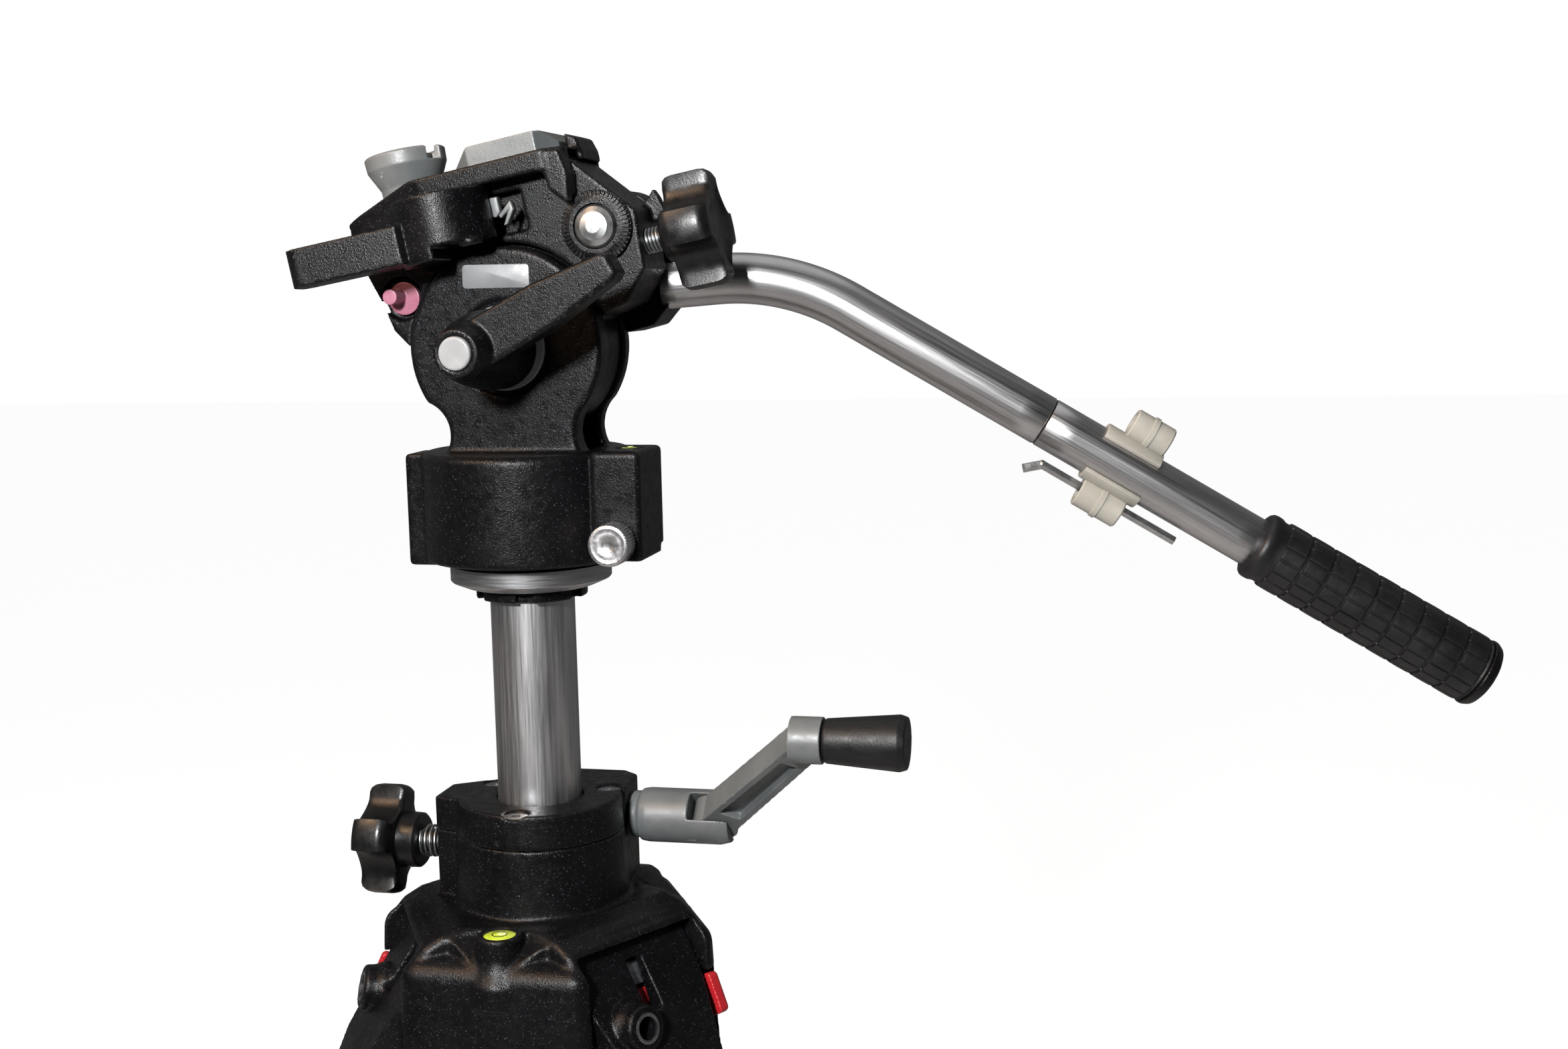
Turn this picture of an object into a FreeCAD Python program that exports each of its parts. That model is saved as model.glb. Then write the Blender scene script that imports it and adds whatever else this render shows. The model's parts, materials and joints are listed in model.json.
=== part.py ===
import FreeCAD, Part
import math
import os

# Tripod with fluid head: three telescoping legs, a geared centre column and a two-axis fluid
# head. Millimetres, +Z up, the floor at z = 0. Every piece is built around the column's axis
# and moved to the part's frame, whose origin is the middle of the feet's box, when it is saved.

V = FreeCAD.Vector
X_AXIS = V(1, 0, 0)
Y_AXIS = V(0, 1, 0)
Z_AXIS = V(0, 0, 1)

# Legs
LEG_AZIMUTHS = (-30, 90, 210)
LEVER_SIDES = (1, 1, -1)
LEG_SPREAD = 26.0
LEG_LENGTH = 806.0
HINGE_R = 36.7
HINGE_DROP = 67.5
FOOT_R = 16.0
FOOT_LIFT = 15.0
UPPER_TUBE_R = 15.0
MIDDLE_TUBE_R = 12.7
LOWER_TUBE_R = 10.5
LEG_WIDTH = 54.0
SOCKET_R = 4.0
SOCKET_DEPTH = 15.5
BOSS_Y = -11.5
BOSS_TILT = 11.0

# Heights and the frame
HINGE_Z = LEG_LENGTH * math.cos(math.radians(LEG_SPREAD)) + FOOT_LIFT
CAP_Z = HINGE_Z + HINGE_DROP
RING_Z = CAP_Z + 79.7
TILT_Z = RING_Z + 82.0
FOOT_RING_R = HINGE_R + LEG_LENGTH * math.sin(math.radians(LEG_SPREAD))
COLUMN_Y = -FOOT_RING_R / 4

# Collar and column
COLUMN_R = 15.0
COLUMN_TOP = 73.2
COLUMN_LENGTH = 355.0
SEAM = -12.5
SLEEVE_R = 17.5
CAP_SCREW_PCD_R = 25.3
LOCK_Z = -19.3

# Rack and pinion
MODULE = 1.0
PINION_TEETH = 16
PINION_R = MODULE * PINION_TEETH / 2
BACKLASH = 0.15
PRESSURE_ANGLE = math.radians(20)
GEAR_WIDTH = 7.0
CRANK_Y = COLUMN_R - MODULE + PINION_R
CRANK_R = 63.0
CRANK_HINGE_X = 60.0
CRANK_BOSS_X = 104.0
CRANK_TURN = 42.0

# Head
DRUM_R = 36.5
CHEEK_R = 34.5
CHEEK_FRONT = -19.0
CHEEK_REAR = 16.0
CORE_HALF = 9.0
CORE_R = 33.0
PITCH = 11.0
PLATE_TOP = 68.8
ROSETTE = (40.6, 33.1)
WALL_HALF = 14.0
FAR_WALL = 12.6
LEVER_RISE = 28.6
POST_X = -27.5
POST_ROOT_R = 6.0

# Pan bar
BAR_R = 9.0
BAR_START = V(45.0, 22.0, 102.4)
BAR_YAW = 8.0
BAR_RISE = 4.0
BAR_FALL = 31.0
BAR_CORNER = 45.0
BAR_BEND_R = 80.0
BAR_SEAM = 105.0
CLIP_AT = 136.0
GRIP_AT = 190.5
GRIP_END = 280.5
BAR_END = 285.0
GRIP_R = 12.6


def save(name, shape):
    """Move a piece to the part's frame and write it."""
    placed = shape.copy()
    placed.translate(V(0, COLUMN_Y, 0))
    placed.exportStep("parts/" + name + ".step")


def cyl(radius, low, high, centre=V(0, 0, 0), axis=Z_AXIS):
    """A cylinder along an axis, from low to high along it."""
    return Part.makeCylinder(radius, high - low, centre + axis * low, axis)


def ring(outer, inner, low, high, centre=V(0, 0, 0), axis=Z_AXIS):
    """A tube along an axis."""
    bore = cyl(inner, low - 1, high + 1, centre, axis)
    return cyl(outer, low, high, centre, axis).cut(bore)


def box(x, y, z):
    """A box from three (low, high) pairs."""
    size = [pair[1] - pair[0] for pair in (x, y, z)]
    return Part.makeBox(size[0], size[1], size[2], V(x[0], y[0], z[0]))


def face_of(points):
    """A flat face with straight sides."""
    return Part.Face(Part.makePolygon(points + points[:1]))


def slab_xy(points, low, high):
    """An outline in x and y, drawn out in z."""
    return face_of([V(x, y, low) for x, y in points]).extrude(V(0, 0, high - low))


def slab_xz(points, low, high):
    """An outline in x and z, drawn out in y."""
    return face_of([V(x, low, z) for x, z in points]).extrude(V(0, high - low, 0))


def turned(profile, centre=V(0, 0, 0), axis=Z_AXIS):
    """A profile of (radius, height) points turned about an axis."""
    shape = face_of([V(r, 0, h) for r, h in profile]).revolve(V(0, 0, 0), Z_AXIS, 360)
    shape.Placement = FreeCAD.Placement(centre, FreeCAD.Rotation(Z_AXIS, axis))
    return shape


def hexagon(inradius, z):
    """A hexagon's wire with its sides square to -90, -30, 30, 90, 150 and 210 degrees."""
    reach = inradius / math.cos(math.radians(30))
    angles = [math.radians(60 * k) for k in range(7)]
    return Part.makePolygon([V(reach * math.cos(a), reach * math.sin(a), z) for a in angles])


def rounded(shape, radius, chosen):
    """Fillet the edges that the test chooses."""
    edges = [edge for edge in shape.Edges if chosen(edge)]
    return shape.makeFillet(radius, edges)


def runs_along(edge, axis):
    """True for a straight edge along an axis."""
    if not isinstance(edge.Curve, (Part.Line, Part.LineSegment)):
        return False
    return abs(edge.tangentAt(edge.FirstParameter).dot(axis)) > 0.999


def lies_at(edge, axis, value):
    """True for an edge wholly at one distance along an axis."""
    return all(abs(vertex.Point.dot(axis) - value) < 0.01 for vertex in edge.Vertexes)


def spun(shape, angle, centre=V(0, 0, 0), axis=Z_AXIS):
    """A copy turned about an axis."""
    copy = shape.copy()
    copy.rotate(centre, axis, angle)
    return copy


def raised(shape, height):
    """A copy lifted in z."""
    copy = shape.copy()
    copy.translate(V(0, 0, height))
    return copy


def level(shape):
    """A piece of the tilting head from its level frame to the rest pose."""
    copy = shape.copy()
    copy.rotate(V(0, 0, 0), Y_AXIS, -PITCH)
    copy.translate(V(0, 0, TILT_Z))
    return copy


def lobed_knob(radius, thick, hub_r, hub_long, stud_r, stud_long, hand):
    """A four-lobed knob on +z with its hub and threaded stud below it."""
    body = cyl(radius, hub_long, hub_long + thick)
    for k in range(4):
        hollow = V(radius * 0.97, 0, 0)
        body = body.cut(spun(cyl(radius * 0.47, 0, 99, hollow), 90 * k))
    body = rounded(body, 2.0, lambda e: lies_at(e, Z_AXIS, hub_long + thick)
                   or lies_at(e, Z_AXIS, hub_long))
    body = spun(body, hand)
    body = body.fuse(cyl(hub_r, 0, hub_long + 1))
    return body.fuse(cyl(stud_r, -stud_long, 1))


# ---------------------------------------------------------------- crown and collar

def collar(low, high, low_r, high_r):
    """The collar's outline: a barrel, the lock's ear at -X and the gear case at the rear right."""
    barrel = Part.makeCone(low_r, high_r, high - low, V(0, 0, low))
    ear = slab_xy([(-37.4, -8), (-22, -13), (-14, 22), (-23, 18.5), (-33, 11.5), (-37.4, 8.5)],
                  low, high)
    case = slab_xy([(-6, 27), (2, 37), (21, 37), (27, 32), (28, 13), (16, 6), (-10, 6)], low, high)
    return barrel.fuse([ear, case])


def gear_room():
    """The space that the pinion and its shaft turn in, at the cap's level."""
    room = cyl(9.7, -4.4, 4.4, V(0, CRANK_Y, SEAM), X_AXIS)
    mouth = box((-4.4, 4.4), (10, CRANK_Y), (SEAM - 9.7, SEAM + 9.7))
    shaft = cyl(4.06, -13, 40, V(0, CRANK_Y, SEAM), X_AXIS)
    return room.fuse([mouth, shaft])


def leg_pocket():
    """The slot in the crown for the leg at azimuth 0."""
    half = LEG_WIDTH / 2 + 0.4
    pivot = V(HINGE_R, -half, -HINGE_DROP)
    swing = Part.makeCylinder(25.7, 2 * half, pivot, Y_AXIS)
    swing = swing.common(box((20.8, 90), (-half, half), (-120, 0)))
    below = box((20.8, 90), (-half, half), (-120, -HINGE_DROP))
    outside = box((HINGE_R, 90), (-half, half), (-120, -43.2))
    return swing.fuse([below, outside])


def crown_casting():
    """The shoulder casting: barrel, three aprons, three hoods with leg slots, level boss."""
    skirt = Part.makeLoft([hexagon(57.5, -100), hexagon(55, -45)], True)
    skirt = rounded(skirt, 7.5, lambda e: abs(e.Vertexes[0].Z - e.Vertexes[1].Z) > 10
                    or lies_at(e, Z_AXIS, -45))
    shelf = Part.makeCone(50.5, 31.5, 10, V(0, 0, -47))
    body = skirt.fuse([shelf, collar(-60, SEAM, 32.5, 30.0)])
    hood = slab_xz([(18, -37.5), (34, -36.5), (41, -38), (47.5, -41.5), (52, -46.5), (54.5, -54),
                    (55.5, -64), (18, -64)], -31, 31)
    hood = rounded(hood, 3.5, lambda e: abs(e.Vertexes[0].Y - e.Vertexes[1].Y) < 1
                   and min(v.X for v in e.Vertexes) > 30)
    blend = face_of([V(24, y, z) for y, z in ((0, -39), (29, -39), (33, -40.2), (45, -48), (45, -56),
                                              (-45, -56), (-45, -48), (-33, -40.2), (-29, -39))])
    blend = blend.extrude(V(20, 0, 0)).common(Part.Face(hexagon(49, -60)).extrude(V(0, 0, 40)))
    for azimuth in LEG_AZIMUTHS:
        body = body.fuse([spun(hood, azimuth), spun(blend, azimuth)])
    boss = turned([(0, -60), (13, -60), (12.5, -52), (9.6, -47.5), (8.3, -44), (8.1, -37.2),
                   (7.5, -36.5), (0, -36.5)], V(0, -45, 0))
    body = body.fuse([boss, box((-6, 6), (-44, -28), (-56, -38))])
    for azimuth, side in zip(LEG_AZIMUTHS, LEVER_SIDES):
        body = body.cut(spun(leg_pocket(), azimuth))
        pin_hole = cyl(4.02, -32, 32, V(HINGE_R, 0, -HINGE_DROP), Y_AXIS)
        body = body.cut(spun(pin_hole, azimuth))
        hollow = slab_xy([(0, -38), (17, -47), (-17, -47)], -101, -53)
        body = body.cut(spun(hollow, azimuth + 60 + 90))
        low, high = sorted((side * 26.5, side * 33.4))
        lever_way = box((39.6, 90), (low, high), (-96, -61.5))
        body = body.cut(spun(lever_way, azimuth))
    body = body.cut(cyl(SLEEVE_R, -110, 0))
    body = body.cut(gear_room())
    body = body.cut(cyl(4.06, -50, -10, V(0, 0, LOCK_Z), X_AXIS))
    body = body.cut(cyl(6.0, -42.0, -30, V(0, -45, 0)))
    for k in range(3):
        body = body.cut(spun(cyl(2.0, -30, -12, V(0, -CAP_SCREW_PCD_R, 0)), 120 * k))
    return raised(body, CAP_Z)


def collar_cap():
    """The top cap, which closes the gear case on the seam."""
    body = collar(SEAM, 0, 30.0, 29.2).removeSplitter()
    body = rounded(body, 0.8, lambda e: lies_at(e, Z_AXIS, 0))
    body = body.cut(cyl(COLUMN_R + 0.6, -20, 1))
    body = body.cut(cyl(SLEEVE_R, SEAM - 1, -3.0))
    body = body.cut(gear_room())
    for k in range(3):
        seat = turned([(0, -14), (2.2, -14), (2.2, -3.2), (4.6, -0.8), (4.6, 1), (0, 1)],
                      V(0, -CAP_SCREW_PCD_R, 0))
        body = body.cut(spun(seat, 120 * k))
    return raised(body, CAP_Z)


def cap_screws():
    """Three countersunk screws."""
    screw = turned([(0, -24), (1.95, -24), (1.95, -3.3), (4.2, -1.0), (1.6, -1.0), (1.6, -2.2),
                    (0, -2.2)], V(0, -CAP_SCREW_PCD_R, CAP_Z))
    return Part.makeCompound([spun(screw, 120 * k) for k in range(3)])


def column_sleeve():
    """The nylon guide between the collar and the column."""
    body = ring(SLEEVE_R - 0.05, COLUMN_R + 0.06, -60, -3.1)
    body = body.cut(box((-5, 5), (8, 20), (-61, -2)))
    body = body.cut(cyl(4.5, -30, -10, V(0, 0, LOCK_Z), X_AXIS))
    return raised(body, CAP_Z)


def spirit_level():
    """The bull's-eye vial in the crown's boss."""
    return cyl(5.9, CAP_Z - 42.0, CAP_Z - 36.9, V(0, -45, 0))


def hinge_pins():
    """Three pins through the crown's cheeks and the leg castings."""
    pin = cyl(4.0, -31.5, 31.5, V(HINGE_R, 0, HINGE_Z), Y_AXIS)
    return Part.makeCompound([spun(pin, azimuth) for azimuth in LEG_AZIMUTHS])


# ---------------------------------------------------------------- column

def column_tube():
    """The sliding tube with a slot for the rack."""
    low = COLUMN_TOP - COLUMN_LENGTH
    body = ring(COLUMN_R, COLUMN_R - 2.5, low, COLUMN_TOP)
    slot = box((-GEAR_WIDTH / 2, GEAR_WIDTH / 2), (8, 20), (low - 1, COLUMN_TOP - 6))
    return raised(body.cut(slot), CAP_Z)


def column_rack():
    """The toothed bar in the tube's slot, its pitch line one module under the tube's surface."""
    pitch = math.pi * MODULE
    pitch_y = COLUMN_R - MODULE
    root_y = pitch_y - 1.25 * MODULE
    tip_half = pitch / 4 - BACKLASH / 2 - MODULE * math.tan(PRESSURE_ANGLE)
    root_half = pitch / 4 - BACKLASH / 2 + 1.25 * MODULE * math.tan(PRESSURE_ANGLE)
    first = math.ceil((COLUMN_TOP - COLUMN_LENGTH + 4 - SEAM) / pitch)
    last = math.floor((COLUMN_TOP - 8 - SEAM) / pitch)
    low = SEAM + (first - 0.5) * pitch
    high = SEAM + (last + 0.5) * pitch
    outline = [(6.5, low), (root_y, low)]
    for k in range(first, last + 1):
        z = SEAM + k * pitch
        outline += [(root_y, z - root_half), (COLUMN_R, z - tip_half)]
        outline += [(COLUMN_R, z + tip_half), (root_y, z + root_half)]
    outline += [(root_y, high), (6.5, high)]
    half = GEAR_WIDTH / 2 - 0.02
    face = face_of([V(-half, y, z) for y, z in outline])
    return raised(face.extrude(V(2 * half, 0, 0)), CAP_Z)


def column_foot():
    """The plug in the column's lower end, with the loop that a weight hangs from."""
    low = COLUMN_TOP - COLUMN_LENGTH
    plug = turned([(0, 0), (15.0, 0), (15.0, -5), (12, -8), (4, -8), (4, -9), (0, -9)])
    loop = Part.makeTorus(7, 2, V(0, 0, -16), Y_AXIS)
    return raised(plug.fuse(loop), CAP_Z + low)


def column_head_disc():
    """The notched disc on the column's top."""
    disc = cyl(19.7, COLUMN_TOP, COLUMN_TOP + 4.0)
    disc = rounded(disc, 0.6, lambda e: lies_at(e, Z_AXIS, COLUMN_TOP))
    notch = box((-3, 3), (17.2, 25), (COLUMN_TOP - 1, COLUMN_TOP + 5))
    for k in range(6):
        disc = disc.cut(spun(notch, 60 * k + 12))
    return raised(disc, CAP_Z)


def head_ring():
    """The head's aluminium base ring."""
    profile = [(8.0, -2.5), (22.5, -2.5), (23.5, -2.2), (28.0, -0.3), (28.5, 0.3), (28.5, 5.6),
               (28.1, 6.0), (8.0, 6.0)]
    return turned(profile, V(0, 0, RING_Z))


def pan_spindle():
    """The spindle that the pan housing turns on."""
    return turned([(0, -2.5), (8.0, -2.5), (8.0, 38.0), (0, 38.0)], V(0, 0, RING_Z))


# ---------------------------------------------------------------- crank

def involute(radius, base):
    """The involute function at a radius."""
    angle = math.acos(min(1.0, base / radius))
    return math.tan(angle) - angle


def pinion_outline():
    """The pinion's outline about the crank's axis, with a gap facing the rack."""
    base = PINION_R * math.cos(PRESSURE_ANGLE)
    root = PINION_R - 1.25 * MODULE
    tip = PINION_R + MODULE
    half_pitch = (math.pi * MODULE / 2 - BACKLASH) / 2 / PINION_R
    radii = [base + (tip - base) * k / 5 for k in range(6)]
    halves = [half_pitch + involute(PINION_R, base) - involute(r, base) for r in radii]
    points = []
    for tooth in range(PINION_TEETH):
        middle = -math.pi / 2 + (tooth + 0.5) * 2 * math.pi / PINION_TEETH
        flank = [(root, halves[0])] + list(zip(radii, halves))
        side = [(r, middle - h) for r, h in flank]
        back = [(r, middle + h) for r, h in reversed(flank)]
        points += [(r * math.sin(-a), r * math.cos(a)) for r, a in side + back]
    return points


def crank_shaft():
    """The shaft with its pinion cut on it."""
    gear_half = GEAR_WIDTH / 2 - 0.3
    outline = [V(-gear_half, -c, -s) for s, c in pinion_outline()]
    gear = face_of(outline).extrude(V(2 * gear_half, 0, 0))
    gear = spun(gear, 90, V(0, 0, 0), X_AXIS)
    shaft = cyl(4.0, -12, 50, V(0, 0, 0), X_AXIS)
    body = gear.fuse(shaft)
    body.translate(V(0, CRANK_Y, CAP_Z + SEAM))
    return body


def crank_frame(shape):
    """From the crank's own frame, with its arm towards +z, to the rest pose."""
    copy = shape.copy()
    copy.rotate(V(0, 0, 0), X_AXIS, 90 - CRANK_TURN)
    copy.translate(V(0, CRANK_Y, CAP_Z + SEAM))
    return copy


def crank_hub():
    """The hub, forked at its outer end for the folding arm."""
    hub = turned([(4.02, 28.6), (8.6, 28.6), (8.6, 31.5), (9.6, 32.3), (10, 35), (10, 62),
                  (9, 66), (0, 66), (0, 50.1), (4.02, 50.1)], V(0, 0, 0), X_AXIS)
    hub = hub.cut(box((51.0, 70), (-5.3, 5.3), (-12, 12)))
    hub = hub.cut(box((40, 52), (-2.3, 2.3), (-12, -8)))
    pin = cyl(2.5, -9.0, 9.0, V(CRANK_HINGE_X, 0, 0), Y_AXIS)
    return crank_frame(hub.fuse(pin))


def crank_arm():
    """The arm with its eye, its end boss and the grip's pin."""
    eye = V(CRANK_HINGE_X, 0, 0)
    boss = V(CRANK_BOSS_X, 0, CRANK_R)
    along = (boss - eye).normalize()
    side = V(along.z, 0, -along.x)
    corners = [eye + side * 7.0, boss + side * 5.5, boss - side * 5.5, eye - side * 7.0]
    arm = face_of([c + V(0, -5, 0) for c in corners]).extrude(V(0, 10, 0))
    body = arm.fuse([cyl(8.5, -5, 5, eye, Y_AXIS), cyl(8.0, -5, 6, boss, X_AXIS)])
    length = (boss - eye).Length
    for hand in (-1, 1):
        near = eye + along * 14 + V(0, hand * 5, 0)
        far = eye + along * (length - 12) + V(0, hand * 5, 0)
        corners = [near + side * 4, far + side * 3, far - side * 3, near - side * 4]
        body = body.cut(face_of(corners).extrude(V(0, -hand * 3, 0)))
    body = body.cut(cyl(2.56, -9, 9, eye, Y_AXIS))
    body = body.fuse(cyl(3.0, 0, 31.5, boss, X_AXIS))
    return crank_frame(body)


def crank_latch():
    """The tab under the hub that frees the arm."""
    body = slab_xz([(36, -17), (40, -19.5), (44, -15), (50.5, -12.5), (50.5, -8.4), (41, -8.4),
                    (40.5, -11)], -2.0, 2.0)
    return crank_frame(body)


def crank_grip():
    """The turning grip, thicker at its outer end."""
    body = turned([(3.06, 6.4), (7.0, 6.4), (7.6, 7.2), (9.6, 32), (8.8, 34.5), (0, 34.5),
                   (0, 31.8), (3.06, 31.8)], V(CRANK_BOSS_X, 0, CRANK_R), X_AXIS)
    return crank_frame(body)


# ---------------------------------------------------------------- column lock

def column_lock_knob():
    """The four-lobed lock knob on the collar's ear, with its stud."""
    knob = lobed_knob(20.0, 14.0, 10.0, 7.0, 4.0, 28.0, 65)
    knob.Placement = FreeCAD.Placement(V(-46, 0, CAP_Z + LOCK_Z), FreeCAD.Rotation(Z_AXIS, -X_AXIS))
    return knob


def column_lock_spring():
    """The coil between the knob and the ear."""
    helix = Part.makeHelix(1.9, 7.4, 5.4)
    first = helix.Edges[0]
    start = first.valueAt(first.FirstParameter)
    circle = Part.makeCircle(0.55, start, first.tangentAt(first.FirstParameter))
    coil = Part.Wire(helix).makePipeShell([Part.Wire(circle)], True, True)
    coil.Placement = FreeCAD.Placement(V(-38.1, 0, CAP_Z + LOCK_Z),
                                       FreeCAD.Rotation(Z_AXIS, -X_AXIS))
    return coil


# ---------------------------------------------------------------- pan housing

def cheek(front, rear):
    """A cheek: a disc about the tilt axis on a waisted neck. Heights are over the ring."""
    axis_z = TILT_Z - RING_Z
    join = V(29.0, front, axis_z - math.sqrt(CHEEK_R ** 2 - 29.0 ** 2))
    left_join = V(-29.0, front, join.z)
    top = V(0, front, axis_z + CHEEK_R)
    left_foot = V(-24.5, front, 44)
    right_foot = V(28.0, front, 44)
    edges = [Part.Arc(join, top, left_join).toShape(),
             Part.Arc(left_join, V(-21.3, front, 53.5), left_foot).toShape(),
             Part.LineSegment(left_foot, right_foot).toShape(),
             Part.Arc(right_foot, V(24.5, front, 54.5), join).toShape()]
    return Part.Face(Part.Wire(edges)).extrude(V(0, rear - front, 0))


def pan_housing():
    """The pan housing: drum, fin, knob block and the two cheeks, in one casting."""
    drum = cyl(DRUM_R, 7.6, 46.0)
    drum = rounded(drum, 2.5, lambda e: lies_at(e, Z_AXIS, 46.0))
    drum = rounded(drum, 1.2, lambda e: lies_at(e, Z_AXIS, 7.6))
    fin = rounded(box((-43.4, -26), (-8, 8), (4.8, 44.6)), 2.0, lambda e: runs_along(e, Y_AXIS)
                  or runs_along(e, Z_AXIS))
    fin = fin.cut(cyl(29.5, 0, 8))
    block = rounded(box((31, 48.5), (-25, 4), (9.6, 47.0)), 1.8, lambda e: runs_along(e, Z_AXIS)
                    or lies_at(e, Z_AXIS, 47.0))
    block = block.cut(slab_xz([(50, 9), (50, 14), (43, 9)], 0, 5))
    front = rounded(cheek(CHEEK_FRONT, -CORE_HALF - 0.5), 1.8,
                    lambda e: lies_at(e, Y_AXIS, CHEEK_FRONT))
    rear = rounded(cheek(CORE_HALF + 0.5, CHEEK_REAR), 1.5, lambda e: lies_at(e, Y_AXIS, CHEEK_REAR))
    body = drum.fuse([fin, block, front, rear])
    axis_z = TILT_Z - RING_Z
    body = body.cut(ring(30.0, 13.0, 6, 38))
    body = body.cut(cyl(8.06, 0, 38.4))
    body = body.cut(cyl(16.5, CHEEK_FRONT - 1, CHEEK_FRONT + 1.6, V(0, 0, axis_z), Y_AXIS))
    body = body.cut(cyl(6.0, -30, 30, V(0, 0, axis_z), Y_AXIS))
    body = body.cut(cyl(2.6, -30, -10.5, V(40.0, 0, 16.4), Y_AXIS))
    body = body.cut(cyl(4.6, 44.6, 50, V(40.5, -9, 0)))
    return raised(body, RING_Z)


def tilt_axle():
    """The axle through both cheeks with its rear nut."""
    centre = V(0, 0, TILT_Z)
    nut = cyl(13.0, CHEEK_REAR, CHEEK_REAR + 3.2, centre, Y_AXIS)
    nut = rounded(nut, 0.8, lambda e: lies_at(e, Y_AXIS, CHEEK_REAR + 3.2))
    return cyl(5.98, CHEEK_FRONT + 2, CHEEK_REAR + 1, centre, Y_AXIS).fuse(nut)


def pan_drag_knob():
    """The small turned knob that sets the pan's drag."""
    body = turned([(0, -14), (2.5, -14), (2.5, 0.6), (6.0, 0.6), (7.2, 1.4), (7.2, 9.6), (6.6, 10.4),
                   (0, 10.4)], V(40.0, -25, RING_Z + 16.4), -Y_AXIS)
    return body


def tilt_lever():
    """The tilt drag lever: a tapered hub and a straight arm."""
    hub = turned([(0, 0.4), (10.8, 0.4), (10.8, 4.6), (13.0, 5.0), (13.8, 6.4), (13.2, 20), (11.2, 31),
                  (9.2, 40), (7.6, 44.2), (5.6, 44.2), (5.6, 42.4), (0, 42.4)],
                 V(0, CHEEK_FRONT + 1.6 - 0.4, TILT_Z), -Y_AXIS)
    arm = slab_xz([(0, -8.2), (30, -7.8), (55, -5.0), (57.5, -3.6), (57.5, 3.4), (55.5, 4.8),
                   (30, 8.0), (0, 8.4)], -54.5, -44)
    arm = rounded(arm, 1.6, lambda e: lies_at(e, Y_AXIS, -54.5))
    arm = spun(arm, -LEVER_RISE, V(0, 0, 0), Y_AXIS)
    arm.translate(V(0, 0, TILT_Z))
    return hub.fuse(arm)


def tilt_lever_cap():
    """The white plug in the lever's hub."""
    face_y = CHEEK_FRONT + 1.6 - 0.4
    cap = cyl(5.5, 42.5, 45.2, V(0, face_y, TILT_Z), -Y_AXIS)
    return rounded(cap, 0.8, lambda e: lies_at(e, -Y_AXIS, 45.2 - face_y))


# ---------------------------------------------------------------- tilting body (level frame)

def tilt_casting():
    """The tilting body between and above the cheeks, with the rear fin."""
    core = cyl(CORE_R, -CORE_HALF, CORE_HALF, V(0, 0, 0), Y_AXIS)
    walls = slab_xz([(-47, 50), (-46, 37), (-42.5, 25.5), (-40, 14), (-36, 8), (-20, 0), (20, 0),
                     (36, 4), (45, 6), (53.5, 16), (54.5, 36), (36, 57), (30, 60.5), (-30, 60.5)],
                    -WALL_HALF, WALL_HALF)
    walls = rounded(walls, 2.0, lambda e: runs_along(e, Y_AXIS) and e.Vertexes[0].X > 35)
    for low, high in ((-30, -CORE_HALF - 0.2), (CORE_HALF + 0.2, 30)):
        walls = walls.cut(cyl(CHEEK_R + 1.2, low, high, V(0, 0, 0), Y_AXIS))
    slim = box((-CORE_R, CORE_R), (-40, 40), (-1, 30))
    slim = slim.common(cyl(CHEEK_R + 1.2, -40, 40, V(0, 0, 0), Y_AXIS))
    slim = slim.cut(cyl(99, -CORE_HALF, CORE_HALF, V(0, 0, 0), Y_AXIS))
    body = core.fuse(walls.cut(slim))
    fin = slab_xz([(47, 30), (60, 33), (58.3, 40), (56.8, 43.2), (55, 41), (51.5, 38)], 4.5, 8.5)
    body = body.fuse(fin)
    body = body.cut(cyl(17.2, 31.0, 54.2, V(-9, -24, 0)))
    body = body.cut(box((-2, 16), (-15, -8), (37.5, 51.5)))
    body = body.cut(cyl(7.6, -20, -10, V(-34.5, 0, 24.3), Y_AXIS))
    body = body.cut(cyl(6.06, -30, 30, V(0, 0, 0), Y_AXIS))
    body = body.cut(cyl(4.0, -30, 30, V(ROSETTE[0], 0, ROSETTE[1]), Y_AXIS))
    body = body.cut(cyl(4.06, 40, 70, V(0, -5, 25.2), X_AXIS))
    body = body.cut(box((-33, 33), (-CORE_HALF + 4, CORE_HALF - 4), (34, 60.6)))
    body = body.cut(over_nose())
    body = body.cut(box((25, 62), (FAR_WALL, 20), (-2, 62)))
    body = body.cut(slab_xy(plate_outline(0.5), 57.8, 64))
    body = body.cut(cyl(POST_ROOT_R + 0.05, 53, 64, V(POST_X, 0, 0)))
    return level(body)


def over_nose():
    """The space over the platform's falling nose."""
    return slab_xz([(-12, 62.5), (-20, 61.3), (-52, 52.0), (-60, 52.0), (-60, 70), (-12, 70)],
                   -30, 30)


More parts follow.
